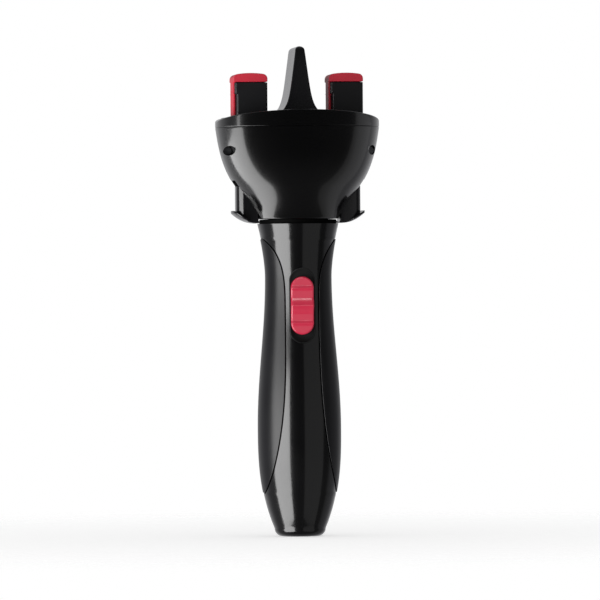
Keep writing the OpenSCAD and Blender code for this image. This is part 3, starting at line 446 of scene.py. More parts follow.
carve(front_shell, make("bosses", *[peg(0, z, -skin_y(0, z), -seam / 2, boss_r) for z in boss_z],
                        *[peg(x, z, -skin_y(x, z), board_lo[1] - seam / 2, post_r)
                          for x, z in posts]), "UNION")
carve(front_shell, make("pilots", *[peg(0, z, pilot_end, 1, pilot_r) for z in boss_z],
                        *[peg(x, z, board_hi[1] - post_pilot_l, board_hi[1], post_pilot_r)
                          for x, z in posts]))
carve(rear_shell, make("bosses", *[peg(0, z, seam / 2, skin_y(0, z), boss_r) for z in boss_z]),
      "UNION")
carve(rear_shell, make("recesses", *[
    along_y(turned([(0, -1), (pilot_r, -1), (pilot_r, boss_seat), (recess_r, boss_seat),
                    (recess_r, 40), (0, 40)], 48), 0, z) for z in boss_z]))

# The openings: a slot with round ends for the switch, and the mouth of the battery bay
slider_lo, slider_hi = mm_box("slider")
bezel_lo, bezel_hi = mm_box("switch_bezel")
slider_z, bezel_size = (bezel_lo[2] + bezel_hi[2]) / 2, bezel_hi - bezel_lo
slot_y = board_lo[1] - 6
bay_half_x, bay_z0, bay_z1, bay_corner = 14.9, 25.5, 81, 1.5


def obround(length, width, inset=0, steps=40, per_side=1):
    """Points (x, z) round an upright slot with round ends, drawn in by inset."""
    r = width / 2 - inset
    straight = (length - width) / 2
    side = [2 * straight * k / per_side - straight for k in range(per_side)]
    turn = [math.pi * k / steps for k in range(steps)]
    return ([(r, z) for z in side]
            + [(r * math.cos(a), straight + r * math.sin(a)) for a in turn]
            + [(-r, -z) for z in side]
            + [(-r * math.cos(a), -straight - r * math.sin(a)) for a in turn])


def prism(outline, low, high, put):
    """A straight solid between two levels; put places a point of the outline at a level."""
    count = len(outline)
    points = [put(a, b, level) for level in (low, high) for a, b in outline]
    sides = [(k, (k + 1) % count, (k + 1) % count + count, k + count) for k in range(count)]
    return points, sides + [tuple(range(count)), tuple(range(2 * count - 1, count - 1, -1))]


def facing(middle_z):
    """Places an outline of (x, z) in the plane that faces the switch."""
    return lambda a, b, level: (a, level, middle_z + b)


bay = obround(bay_z1 - bay_z0, 2 * bay_corner, steps=8)
bay = [(x + math.copysign(bay_half_x - bay_corner, x), z) for x, z in bay]
carve(front_shell, make("slot", prism(
    obround(bezel_size[2] + 2 * seam, bezel_size[0] + 2 * seam), -40, slot_y,
    facing(slider_z))))
carve(rear_shell, make("mouth", prism(bay, 4, 40, facing((bay_z0 + bay_z1) / 2))))
dress(front_shell, "handle", "casing_black", "front_shell")
dress(rear_shell, "handle", "casing_black", "rear_shell")


# --- Side grips ---------------------------------------------------------------------------------
# Two satin grips of hard black rubber, glued into the pockets with a narrow groove round them.
# They stand a little proud of the casing, with softly rounded edges.
groove, grip_proud, grip_under = 0.4, 0.35, 1.1
sine_limit = 0.992


def satin_black(name, shade, roughness, relief, sheen=0.5):
    """Matt or satin black plastic with a fine moulded texture."""
    finish = Finish(name, ior=1.5, specular_ior_level=sheen)
    cloud = finish.noise(70, 3)
    grain = finish.noise(2600, 2)
    finish.mottle(cloud, shade, 0.85, 1.2)
    finish.feed("Roughness", roughness * 0.85 + cloud * (roughness * 0.2) + grain * 0.06)
    finish.grain(grain, relief)


satin_black("grip_black", (20, 20, 22), 0.28, 0.000010)


def grip(name, node, side):
    low, high = grip_z0 + groove, grip_z1 - groove

    def surface(depth):
        rows = []
        for z, _ in spaced([low, high], row_step):
            r = handle_r(z) - depth
            first = math.asin(min(sine_limit, (front_edge(z) + groove) / r))
            last = math.pi - math.asin(min(sine_limit, (back_edge(z) + groove) / r))
            turns = [first + (last - first) * k / 48 for k in range(49)]
            rows.append([(side * r * math.sin(a), -r * math.cos(a), z) for a in turns])
        return rows

    piece = make(name, shell(surface(-grip_proud), surface(grip_under)))
    ease(piece, edge_ease)
    dress(piece, "handle", "grip_black", node)


for side, name in left_and_right:
    grip(name + "_grip_piece", name + "_grip", side)


# --- Battery cover ------------------------------------------------------------------------------
# A curved plate of the same polished plastic as the casing, snapped over the battery bay. Four
# moulded ridges near its upper end give the thumb a hold.
cover_t, cover_gap = 1.6, 0.3
ridge_top, ridge_count, ridge_pitch, ridge_half = 77, 4, 3, 0.7
ridge_out, ridge_reach, ridge_fade = 0.5, 7, 0.8
cover_step, cover_ease = 0.25, 0.12


def hump(distance, half):
    """1 at the middle of a rounded ridge, falling to 0 at half its width."""
    return (1 - min(1, abs(distance) / half) ** 2) ** 0.5


def cover_surface(depth, ridged):
    """A grid of points on the cover, with its ridges or without."""
    rows = []
    for z, _ in spaced([cover_z0 + cover_gap, cover_z1 - cover_gap], cover_step):
        far = cover_angle - cover_gap / handle_r(z)
        row = []
        for k in range(61):
            turn = far * (k / 30 - 1)
            r = handle_r(z) - depth
            if ridged:
                lift = max(hump(z - ridge_top + n * ridge_pitch, ridge_half)
                           for n in range(ridge_count))
                end = min(1, max(0, (ridge_reach - abs(r * math.sin(turn))) / ridge_fade))
                r += ridge_out * lift * end * (2 - end)
            row.append((r * math.sin(turn), r * math.cos(turn), z))
        rows.append(row)
    return rows


cover = make("battery_cover_piece", shell(cover_surface(0, True), cover_surface(cover_t, False)))
ease(cover, cover_ease, 2)
dress(cover, "cover", "casing_black", "battery_cover")


# --- Battery tray, cells and contacts -----------------------------------------------------------
# A matt tray with two troughs, two AA cells in printed sleeves, one of them upside down, and
# sprung steel contacts. They show when the cover is off.
cell_r, cell_round, cell_l = 7.25, 0.7, 50.5
nub_r, nub_h, nub_round = 2.75, 1, 0.3
plate_r, plate_round, plate_groove = cell_r - 1.6, 0.4, 0.25
band_starts = (0.0, 0.014, 0.70, 0.968)
cells_lo, cells_hi = mm_box("battery_cells")
cell_y = (cells_lo[1] + cells_hi[1]) / 2


def cell_profile():
    shoulder = cell_l - nub_h
    return ([(0, 0), (plate_r, 0), (plate_r + 0.1, plate_groove), (cell_r - 0.5, plate_groove)]
            + arc(cell_r - plate_round, plate_round + 0.1, plate_round, -90, 0)
            + arc(cell_r - cell_round, shoulder - cell_round, cell_round, 0, 90)
            + [(nub_r + nub_round, shoulder)]
            + arc(nub_r - nub_round, cell_l - nub_round, nub_round, 0, 90, 3) + [(0, cell_l)])


def cell_sleeve():
    """A printed sleeve: copper above, black below, with bare steel at the ends."""
    finish = Finish("cell_wrap", ior=1.5, coat_weight=0.6, coat_roughness=0.08)
    height = finish.node("ShaderNodeSeparateXYZ", {}, {0: finish.place()}, "Z")
    across = finish.node("ShaderNodeSeparateXYZ", {}, {0: finish.place()}, "X")
    flip = finish.node("ShaderNodeMath", {"operation": "GREATER_THAN"}, {0: across, 1: 0.0})
    low, high = cells_lo[2] / 1000, cells_hi[2] / 1000
    share = (height - low) * (1 / (high - low))
    along = share * (1 - 2 * flip) + flip
    steel, copper, black = colour(190, 192, 196), colour(196, 120, 60), colour(24, 24, 26)
    bare, printed, foil = [(share, share, share, 1) for share in (1, 0, 0.6)]
    for socket, bands in (("Base Color", (steel, black, copper, steel)),
                          ("Metallic", (bare, printed, foil, bare))):
        finish.feed(socket, finish.ramp(along, list(zip(band_starts, bands)), steps=True))
    scuff = finish.noise(160, 3)
    finish.feed("Roughness", 0.22 + scuff * 0.16)
    finish.grain(scuff, 0.000006)


def cell(x, end_z, way):
    """A cell whose flat end is at end_z, standing up or, with way -1, upside down."""
    points, faces = turned(cell_profile(), 64, (x, cell_y))
    return [(px, py, end_z + way * z) for px, py, z in points], faces


cells = make("battery_cells_piece", cell(cells_lo[0] + cell_r, cells_lo[2], 1),
             cell(cells_hi[0] - cell_r, cells_hi[2], -1))
cell_sleeve()
dress(cells, "handle", "cell_wrap", "battery_cells")


# --- Switch -------------------------------------------------------------------------------------
# A red thumb slider in a matt recess. It is moulded in one piece with a tall ridge across its
# middle, a small rib above and below it, and a rounded rim.
face_y = -handle_r(slider_z)
slider_l, slider_w = slider_hi[2] - slider_lo[2], slider_hi[0] - slider_lo[0]
flat_out, ridge_high, ridge_long = 0.3, 1.7, 4.2
rib_pitch, rib_high, rib_long = 8.7, 0.6, 1.2
crest_round, rim_round, back_round = 0.15, 0.9, 0.3
slider_foot = face_y + 2.1
stem_x, stem_z, stem_in = 2, 3, 0.5


def red_plastic(name, shade, roughness, coat):
    """Glossy red plastic, a shade deeper in its soft mottling, with faint handling marks."""
    finish = Finish(name, ior=1.5, coat_weight=coat, coat_roughness=0.08)
    cloud = finish.noise(90, 2)
    scuff = finish.noise(700, 2)
    finish.mottle(cloud, shade, 0.94, 1.05)
    finish.feed("Roughness", roughness + cloud * 0.08 + scuff * 0.05)
    finish.grain(scuff, 0.000004)


red_plastic("slider_red", (186, 40, 66), 0.18, 0.8)


def swell(distance, half, height):
    """A ridge with hollow flanks and a narrow round crest."""
    from_crest = math.hypot(distance, crest_round) - crest_round
    return height * max(0, 1 - from_crest / half) ** 1.5


def slider_front(z):
    """The slider's surface at height z from its middle, before its rim is rounded."""
    return (face_y - flat_out - swell(z, ridge_long, ridge_high - flat_out)
            - swell(abs(z) - rib_pitch, rib_long, rib_high))


def slider_rings():
    """Rings of points from the slider's back, round its rim and in over its face."""
    rim_steps, face_steps = 8, 16

    def ring(inset, y_of):
        outline = obround(slider_l, slider_w, inset, per_side=120)
        return [(x, y_of(z), slider_z + z) for x, z in outline]

    rings = [ring(slider_w / 2, lambda z: slider_foot), ring(back_round, lambda z: slider_foot),
             ring(0, lambda z: slider_foot - back_round)]
    for k in range(rim_steps + 1):
        turn = math.pi / 2 * k / rim_steps
        drop = rim_round * (1 - math.sin(turn))
        rings.append(ring(rim_round * (1 - math.cos(turn)), lambda z: slider_front(z) + drop))
    for k in range(1, face_steps + 1):
        rings.append(ring(rim_round + (slider_w / 2 - rim_round) * k / face_steps, slider_front))
    return rings


def stacked(rings, caps=True):
    """A solid through rings of points. Without caps, its end rings fall flat on a point or line."""
    columns = len(rings[0])
    points = [p for ring in rings for p in ring]
    faces = hoops(len(rings), columns)
    if caps:
        faces += [tuple(range(columns)), tuple(range(len(points) - columns, len(points)))]
    return points, faces


slider = make("slider_piece", stacked(slider_rings(), caps=False))
carve(slider, make("stem", prism(
    [(-stem_x, -stem_z), (stem_x, -stem_z), (stem_x, stem_z), (-stem_x, stem_z)],
    slider_foot - stem_in, slider_hi[1], facing((slider_lo[2] + slider_hi[2]) / 2))), "UNION")
dress(slider, "switch_slider", "slider_red", "slider")


# --- Funnel -------------------------------------------------------------------------------------
# The head's casing: two polished halves like the handle's, joined from the front by two screws
# in deep holes. A window on each side lets its lever slide up and down.
head_z = mm_box("front_funnel")[0][2]
funnel_h = mm_box("front_funnel")[1][2] - head_z
base_r, shoulder_r, rim_r = 20.9, 31.4, 41
shoulder_h = 16.5
base_slope, shoulder_slope, rim_slope = 0.39, 0.69, 0.15
funnel_t, floor_t, hole_r = 1.6, 2.5, 16.56
window_half, window_h, window_in = 7.3, 19.4, 20.2
screw_x, screw_z, screw_seat = 35.8, head_z + 34, -4.5
screw_recess_r, screw_boss_r, screw_boss_end = 2.4, 3.4, 8.5
screw_pilot_r, screw_pilot_end = 1.05, 7.3
foot_step, funnel_step, funnel_columns = 0.3, 0.9, 44

polished_black("head_black", (9, 9, 10), 0.22, 0.9)


def hermite(s, length, a, slope_a, b, slope_b):
    """Value at a share s of a smooth curve from a to b, with those slopes at its ends."""
    s2, s3 = s ** 2, s ** 3
    return (a * (1 - 3 * s2 + 2 * s3) + slope_a * length * (s - 2 * s2 + s3)
            + b * (3 * s2 - 2 * s3) + slope_b * length * (s3 - s2))


def funnel_r(h):
    """Radius of the funnel at a height above its base."""
    if h < shoulder_h:
        return hermite(h / shoulder_h, shoulder_h, base_r, base_slope, shoulder_r, shoulder_slope)
    upper = funnel_h - shoulder_h
    return hermite((h - shoulder_h) / upper, upper, shoulder_r, shoulder_slope, rim_r, rim_slope)


def funnel_rows():
    """Pairs of (radius, height) outside and inside, with the span that each pair is in."""
    floor_r = funnel_r(floor_t) - funnel_t - foot_step
    rows = [((hole_r, 0), (hole_r, floor_t), 0),
            ((window_in, 0), (floor_r, floor_t), 0), ((window_in, 0), (floor_r, floor_t), 1)]
    for h, span in spaced([0, window_h, funnel_h], funnel_step):
        inside = max(h, floor_t)
        rows.append(((funnel_r(h), h), (funnel_r(inside) - funnel_t, inside), 1 + span))
    return rows


def funnel_half(name, side):
    rows = funnel_rows()
    columns = spaced([-2, -1, 1, 2], 1 / funnel_columns)

    def point(r, h, u):
        turn = spread(u, math.acos(window_half / r), half_turn(r))
        return r * math.sin(turn), side * r * math.cos(turn), head_z + h

    outer = [[point(*out, u) for u, _ in columns] for out, _, _ in rows]
    inner = [[point(*into, u) for u, _ in columns] for _, into, _ in rows]
    keep = [[rows[i][2] != 1 or columns[j][1] == 1 or rows[i + 1][2] != 1
             for j in range(len(columns) - 1)] for i in range(len(rows) - 1)]
    return make(name, shell(outer, inner, keep))


front_funnel = funnel_half("front_funnel_piece", -1)
rear_funnel = funnel_half("rear_funnel_piece", 1)
for half, near, far in ((front_funnel, -20, -seam / 2), (rear_funnel, seam / 2, screw_boss_end)):
    ease(half, edge_ease)
    bosses = make("bosses", *[peg(x, screw_z, near, far, screw_boss_r) for x in (-screw_x, screw_x)])
    carve(bosses, make("body", turned([(0, head_z)] + [
        (funnel_r(funnel_h * k / 40) - 0.05, head_z + funnel_h * k / 40) for k in range(41)]
        + [(0, head_z + funnel_h)], 160)), "INTERSECT")
    carve(half, bosses, "UNION")
carve(front_funnel, make("recesses", *[
    along_y(turned([(0, -60), (screw_recess_r, -60), (screw_recess_r, screw_seat),
                    (screw_pilot_r, screw_seat), (screw_pilot_r, 2), (0, 2)], 48), x, screw_z)
    for x in (-screw_x, screw_x)]))
carve(rear_funnel, make("pilots", *[peg(x, screw_z, -1, screw_pilot_end, screw_pilot_r)
                                    for x in (-screw_x, screw_x)]))
dress(front_funnel, "head", "head_black", "front_funnel")
dress(rear_funnel, "head", "head_black", "rear_funnel")


# --- Lid ----------------------------------------------------------------------------------------
# One arched moulding that closes the funnel, high across the middle and low at the two sides,
# with a round hole for each turntable and a short collar below each hole.
rim_z = mm_box("front_funnel")[1][2]
lid_z = rim_z + 0.05
lid_side_h, lid_rise, lid_t, lid_ease = 2.6, 5.5, 1.8, 0.45
clip_x = (mm_box("right_turntable")[0][0] + mm_box("right_turntable")[1][0]) / 2
lid_hole_r, lid_collar, collar_low = 14.4, 1, 0.6


def arch_z(x, drop=0):
    """Height of the lid's top at a distance from the middle, or of a surface below and inside it."""
    return (rim_z + lid_side_h - drop
            + lid_rise * math.sqrt(max(0, 1 - (x / (rim_r - drop)) ** 2)))


def lid_rows(drop):
    """Rings from the middle of the lid's top, or of its underside, out and down to its rim."""
    across, down = 22, 3
    rows = []
    for k in range(across + down + 1):
        r = (rim_r - drop) * min(1, k / across)
        sink = max(0, k - across) / down
        rows.append([(r * math.cos(a), r * math.sin(a),
                      arch_z(r * math.cos(a), drop) * (1 - sink) + lid_z * sink)
                     for a in circle(160)])
    return rows


def collar_block(x):
    """A solid disc under a hole of the lid, whose top lies inside the lid's wall."""
    radii = [(lid_hole_r + lid_collar) * k / 10 for k in range(11)]
    rows = [[(x + r * math.cos(a), r * math.sin(a), arch_z(x + r * math.cos(a)) - lid_t / 2)
             for a in circle(64)] for r in radii]
    return stacked(rows + [[(px, py, rim_z + collar_low) for px, py, _ in rows[-1]]])


lid = make("lid_piece", stacked(lid_rows(0) + lid_rows(lid_t)[::-1], caps=False))
ease(lid, lid_ease)
carve(lid, make("blocks", collar_block(-clip_x), collar_block(clip_x)), "UNION")
carve(lid, make("holes", *[turned([(0, rim_z - 5), (lid_hole_r, rim_z - 5), (lid_hole_r, rim_z + 20),
                                   (0, rim_z + 20)], 128, (x, 0)) for x in (-clip_x, clip_x)]))
dress(lid, "head", "head_black", "lid")


# --- Divider ------------------------------------------------------------------------------------
# A tall solid fin between the clips, which keeps the two strands apart. Its sides flare out where
# it meets the lid, its ends lean in, and its top is rounded over.
divider_top = mm_box("divider")[1][2]
crown_z = rim_z + lid_side_h + lid_rise
tip_half, divider_slope, flare, flare_h = 2.1, 0.13, 2.9, 3.6
divider_half_y, divider_lean, end_round, side_round = 15.5, 0.02, 3.5, 0.7
divider_root = crown_z - 3

polished_black("divider_black", (20, 20, 22), 0.2, 0.6)


def divider_loop(half_x, half_y, level):
    """A rounded rectangle; level gives the height of a point from its x."""
    r = min(side_round, half_x * 0.8)
    loop = []
    for turn, sx, sy in ((0, 1, 1), (90, -1, 1), (180, -1, -1), (270, 1, -1)):
        x, y = sx * (half_x - r), sy * (half_y - r)
        loop += arc(x, y, r, turn, turn + 90)
        if turn in (0, 180):
            loop += [(x * (1 - k / 4), sy * half_y) for k in range(1, 8)]
        else:
            loop += [(sx * half_x, y * (1 - k / 12)) for k in range(1, 24)]
    return [(x, y, level(x)) for x, y in loop]


def divider_rings():
    """Rings from the middle of its hidden foot out, up its sides and over its top."""
    tip_z = divider_top - tip_half
    side_steps, tip_steps = 40, 10

    def half_x(z):
        return tip_half + divider_slope * (divider_top - z) + flare * math.exp(
            -(z - crown_z) / flare_h)

    def half_y(z):
        base = divider_half_y - divider_lean * (z - crown_z)
        over = max(0, z - (divider_top - end_round))
        end = divider_half_y - divider_lean * (divider_top - crown_z)
        return base if over == 0 else end - end_round + math.sqrt(end_round ** 2 - over ** 2)

    wide = half_x(crown_z)
    rings = [divider_loop(0.3, 4, lambda x: divider_root),
             divider_loop(wide, divider_half_y, lambda x: divider_root),
             divider_loop(wide, divider_half_y, lambda x: arch_z(x) - 0.1)]
    for k in range(1, side_steps + 1):
        z = crown_z + (tip_z - crown_z) * (k / side_steps) ** 1.5
        rings.append(divider_loop(half_x(z), half_y(z), lambda x: z))
    for k in range(1, tip_steps + 1):
        turn = math.pi / 2 * k / tip_steps
        z = tip_z + tip_half * math.sin(turn)
        rings.append(divider_loop(max(0.02, half_x(tip_z) * math.cos(turn)), half_y(z), lambda x: z))
    return rings


divider = make("divider_piece", stacked(divider_rings()))
dress(divider, "head", "divider_black", "divider")


# --- Turntables ---------------------------------------------------------------------------------
# A disc with a hollow spindle under each clip. A flange below its face keeps it under the lid,
# and the spindle runs in the gear carrier.
disc_r, flange_r, hub_r, spindle_r = 14.1, 14.8, 7, 6
disc_z = mm_box("left_turntable")[1][2]
spindle_z = mm_box("left_turntable")[0][2]
flange_z0, flange_z1, hub_z = rim_z - 1, rim_z + 0.3, spindle_z + 3.8
well_r, well_z, bore_r, disc_round = 4.05, rim_z - 2.5, 2.06, 0.5
satin_black("clip_black", (27, 27, 29), 0.3, 0.000005)

for side, name in left_and_right:
    table = make(name + "_turntable_piece", turned(
        [(well_r, spindle_z), (spindle_r, spindle_z), (spindle_r, hub_z), (hub_r, hub_z),
         (hub_r, flange_z0), (flange_r, flange_z0), (flange_r, flange_z1), (disc_r, flange_z1)]
        + arc(disc_r - disc_round, disc_z - disc_round, disc_round, 0, 90)
        + [(disc_r - 3, disc_z), (8, disc_z), (bore_r, disc_z), (bore_r, well_z), (well_r, well_z)],
        128, (side * clip_x, 0)))
    dress(table, name + "_twister", "clip_black", name + "_turntable")


# --- Clips --------------------------------------------------------------------------------------
# A satin black block on each turntable, with a cheek at each upper corner on its left, and a red
# hook over it: a crowned cap with a thin leg down the left side between the cheeks. A steel rod
# carries the hook up and down.
block_x0, block_x1, block_y = -7.4, 8.2, 9.5
block_corner, cheek_out, cheek_in, cheek_h = 1.2, 0.8, 6.3, 5.6
block_top = mm_box("left_clip_body")[1][2]
cap_z, cap_top = block_top + 0.3, mm_box("left_hook")[1][2]
leg_x0, leg_t, leg_y = -8.8, 1.2, 6
cap_round, cap_crown, hook_ease = 2, 45, 0.35
red_plastic("hook_red", (204, 36, 58), 0.4, 0.0)


def block_outline(cheeks):
    """The block's outline, whose left side steps out to the cheeks where it has them."""
    c = block_corner
    out = cheek_out if cheeks else 0
    corners = [(block_x1 - c, -block_y + c, -90), (block_x1 - c, block_y - c, 0),
               (block_x0 - out + c, block_y - c, 90), (block_x0 - out + c, -block_y + c, 180)]
    points = []
    for x, y, start in corners:
        points += arc(x, y, c, start, start + 90)
        if start == 90:
            points += [(block_x0 - out, cheek_in), (block_x0, cheek_in),
                       (block_x0, -cheek_in), (block_x0 - out, -cheek_in)]
    return points


def cap_outline():
    """The cap from the front: flat below, its top rounded at the sides and slightly crowned."""
    middle, half = (leg_x0 + block_x1) / 2, (block_x1 - leg_x0) / 2
    top = []
    for k in range(25):
        x = half * math.cos(math.pi * k / 24)
        crown = cap_top - cap_crown + math.sqrt(cap_crown ** 2 - x * x)
        over = max(0, abs(x) - (half - cap_round))
        top.append((middle + x, crown - cap_round + math.sqrt(max(0, cap_round ** 2 - over ** 2))))
    return [(leg_x0, cap_z), (block_x1, cap_z)] + top


for side, name in left_and_right:
    middle, step_z = side * clip_x, block_top - cheek_h
    block = make(name + "_clip_body_piece", stacked([
        [(middle + x, y, z) for x, y in block_outline(cheeks)]
        for cheeks, z in ((False, disc_z), (False, step_z), (True, step_z), (True, block_top))]))
    ease(block, edge_ease)
    carve(block, make("bore", turned([(0, disc_z - 1), (bore_r, disc_z - 1), (bore_r, block_top + 1),
                                      (0, block_top + 1)], 32, (middle, 0))))
    dress(block, name + "_twister", "clip_black", name + "_clip_body")

    hook = make(name + "_hook_piece", prism(
        cap_outline(), -block_y, block_y, lambda a, b, level: (middle + a, level, b)))
    carve(hook, make("leg", prism(
        [(leg_x0, -leg_y), (leg_x0 + leg_t, -leg_y), (leg_x0 + leg_t, leg_y), (leg_x0, leg_y)],
        disc_z + 1, cap_z + 1.5, lambda a, b, level: (middle + a, b, level))), "UNION")
    ease(hook, hook_ease)
    dress(hook, name + "_hook_body", "hook_red", name + "_hook")


# --- Levers -------------------------------------------------------------------------------------
# A black lever in each window of the funnel: a post that slides in the guides, with a finger
# flange like a saucer's edge that curls up and out at its foot.
lever_in, lever_half, lever_round = 20.5, 7, 4.6
lever_z, lever_top = mm_box("right_lever")[0][2], mm_box("right_lever")[1][2]
flange_in, lip_r, flange_t = base_r + 0.3, 33.5, 1.2
flange_low, flange_rise, flange_curve = 2.1, 5.1, 2.3
narrow, wide, widen_r, widen_by, lip_round = 7, 10, 26.2, 2.4, 3.5
lever_ease, flange_ease, under_cut = 0.5, 0.4, 12
post_r_out = funnel_r(window_h) - funnel_t - 0.3
polished_black("lever_black", (18, 18, 20), 0.16, 0.7)


def dish_z(r):
    """Height of the flange's underside."""
    share = max(0, (r - flange_in) / (lip_r - flange_in))
    return head_z - flange_low + flange_rise * share ** flange_curve


def dish_half(r):
    """Half the flange's width, wider beyond the post and rounded at the lip."""
    share = min(1, max(0, (r - widen_r) / widen_by))
    width = narrow + (wide - narrow) * share * share * (3 - 2 * share)
    over = max(0, r - (lip_r - lip_round)) / lip_round
    return width - lip_round * (1 - math.sqrt(max(0, 1 - over ** 2)))


def dish(side, lift):
    """A grid of points on the flange's underside, or on a surface lifted from it."""
    rows = []
    for k in range(41):
        r = flange_in + (lip_r - flange_in) * math.sin(math.pi / 2 * k / 40)
        turns = [math.asin(dish_half(r) / r) * (n / 14 - 1) for n in range(29)]
        rows.append([(side * r * math.cos(a), r * math.sin(a), dish_z(r) + lift) for a in turns])
    return rows


def post_outline():
    """The post from above: square inside, rounded corners, its outer face round about the axis."""
    corner_y = lever_half - lever_round
    corner_x = math.sqrt(post_r_out ** 2 - corner_y ** 2) - lever_round
    corner = arc(corner_x, corner_y, lever_round, 0, 90, 9)
    face = [(math.sqrt(post_r_out ** 2 - y * y), y) for y in np.linspace(-3.0, 3.0, 9)]
    return ([(x, -y) for x, y in reversed(corner)] + face + corner
            + [(lever_in, lever_half), (lever_in, -lever_half)])


for side, name in left_and_right:
    lever = make(name + "_lever_piece", stacked([
        [(side * x, y, z) for x, y in post_outline()]
        for z in (lever_z + flange_t / 2, lever_top)]))
    ease(lever, lever_ease)
    below = [[(x, y, z - under_cut) for x, y, z in row] for row in dish(side, flange_t / 2)]
    carve(lever, make("under", shell(dish(side, flange_t / 2), below)))
    flange = make("flange", shell(dish(side, flange_t), dish(side, 0)))
    ease(flange, flange_ease)
    carve(lever, flange, "UNION")
    dress(lever, name + "_lever_body", "lever_black", name + "_lever")


# --- Finishes of the inner parts ----------------------------------------------------------------
# Steel and brass, milky gear plastic, green board lacquer, matt black, the collar's black darkened with
# painted shade of the neck gap, and the sleeves of the leads. Each finish has the name of its material
# in the record.

def metal(name, shade, roughness):
    """Drawn or turned metal, with fine marks of its making and a little tarnish."""
    finish = Finish(name, metallic=1.0)
    stretch = finish.node("ShaderNodeVectorMath", {"operation": "MULTIPLY"},
                          {0: finish.place(), 1: (1.0, 1.0, 12.0)})
    marks = finish.noise(900, 3, stretch)
    tarnish = finish.noise(120, 3)
    finish.mottle(tarnish, shade, 0.85, 1)
    finish.feed("Roughness", roughness + marks * 0.12 + tarnish * 0.08)
    finish.grain(marks, 0.000004)


def white_plastic():
    """Milky acetal, slightly warm, with the soft sheen of a moulded gear."""
    finish = Finish("gear_white", ior=1.48)
    cloud = finish.noise(120, 2)
    finish.feed("Base Color", finish.blend(cloud, colour(214, 211, 202), colour(232, 230, 223)))
    finish.feed("Roughness", 0.34 + cloud * 0.12)
    finish.grain(finish.noise(1500, 2), 0.000005)


def board_lacquer():
    """Green solder lacquer with darker and lighter runs of copper under it."""
    finish = Finish("board_green", ior=1.5, coat_weight=0.3, coat_roughness=0.1)
    runs = finish.node("ShaderNodeTexVoronoi", {"distance": "MANHATTAN"},
                       {"Vector": finish.place(), "Scale": 420.0})
    finish.feed("Base Color", finish.blend(runs, colour(24, 84, 50), colour(44, 118, 70)))
    finish.feed("Roughness", 0.3 + runs * 0.2)
    finish.grain(runs, 0.00003)


def lead_sleeve(name, shade):
    """Soft PVC insulation."""
    finish = Finish(name, ior=1.5)
    cloud = finish.noise(300, 2)
    finish.mottle(cloud, shade, 0.85, 1)
    finish.feed("Roughness", 0.42 + cloud * 0.1)
    finish.grain(cloud, 0.00001)


satin_black("recess_black", (22, 23, 23), 0.5, 0.00001)
# The collar in the neck's gap is black plastic, painted darker still and almost without sheen: painted
# shade that stands in for the shadow in the gap between funnel and handle.
satin_black("collar_black", (5, 5, 5), 0.6, 0.000006, 0.05)
satin_black("inner_black", (30, 30, 32), 0.55, 0.00002)
white_plastic()
metal("steel", (186, 188, 192), 0.24)
metal("brass", (214, 178, 104), 0.22)
board_lacquer()
lead_sleeve("lead_red", (176, 30, 30))
lead_sleeve("lead_black", (30, 30, 32))


# --- Hook springs -------------------------------------------------------------------------------
# A steel coil round each rod, between the rod's foot and the top of its well in the turntable.
spring_turns, per_turn, wire_r = 7, 24, 0.4
hook_lift = {row["name"]: 1000 * row["range_m"][1] for row in frame["record"]["behaviour"]["joints"]
             if row["name"].endswith("_hook_lift")}
for _, name in left_and_right:
    (x0, y0, z0), (x1, y1, z1) = mm_box(name + "_spring")
    coil_r = (y1 - y0) / 2 - wire_r
    coil = []
    for step in range(spring_turns * per_turn + 1):
        turn = 2 * math.pi * step / per_turn
        z = z0 + wire_r + (z1 - z0 - 2 * wire_r) * step / (spring_turns * per_turn)
        coil.append([((x0 + x1) / 2 + (coil_r + wire_r * math.cos(a)) * math.cos(turn),
                      (y0 + y1) / 2 + (coil_r + wire_r * math.cos(a)) * math.sin(turn),
                      z + wire_r * math.sin(a)) for a in circle(10)])
    spring = dress(make(name + "_hook_spring", stacked(coil)), name + "_twister", "steel",
                   name + "_spring")
    1 - hook_lift[name + "_hook_lift"] / (z1 - z0)
    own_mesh(spring)


# --- Inner parts --------------------------------------------------------------------------------
# What stays as packed: the motor, gears, board and switch, screws, contacts, rods and the collar in the
# neck, each with the finish of its material; the collar's black is deepened with painted shade of its
# gap.
packed_slot = {row["node"]: row["material_slot"] for row in frame["record"]["subparts"]}
for node, packed in frame["nodes"].items():
    if not packed.hide_render:
        packed.data.materials.clear()
        packed.data.materials.append(finishes[packed_slot[node]])


# --- Studio -------------------------------------------------------------------------------------
# White paper round the foot and white beyond, a tall soft box at the left and dim cards elsewhere.
# The camera stands a little to the object's left, level with its middle, with a long lens.
view_turn, view_roll = math.radians(-7), math.radians(-0.447)
view_z, view_shift = 0.118, 0.00078
frame_width, lens, sensor = 0.3, 400, 36
distance = frame_width * lens / sensor


def stand(name, data, turn, height, away, aside=0, roll=0):
    """Puts up a lamp or camera at an angle from the object's front, level and facing its axis."""
    made = bpy.data.objects.new(name, data)
    bpy.context.scene.collection.objects.link(made)
    made.matrix_world = (Matrix.Rotation(turn, 4, "Z") @ Matrix.Translation((aside, -away, height))
                         @ Matrix.Rotation(math.pi / 2, 4, "X") @ Matrix.Rotation(roll, 4, "Z"))
    return made


def soft_box(name, turn, low, high, width, away, glow, *lit, lean=0):
    """An upright lamp between two heights, whose face has that glow; its angles are in degrees.

    It lights the lit pieces alone, as a flag before it would see to."""
    data = bpy.data.lights.new(name, "AREA")
    data.shape, data.size, data.size_y = "RECTANGLE", width, high - low
    data.energy = glow * math.pi * width * (high - low)
    made = stand(name, data, math.radians(turn), (low + high) / 2, away, roll=math.radians(lean))
    made.visible_camera = False
    made.light_linking.receiver_collection = bpy.data.collections.new(name)
    for piece in lit:
        made.light_linking.receiver_collection.objects.link(piece)


bowl = [front_funnel, rear_funnel, lid]
others = [piece for piece in bpy.data.objects if piece.type == "MESH" and piece not in bowl]
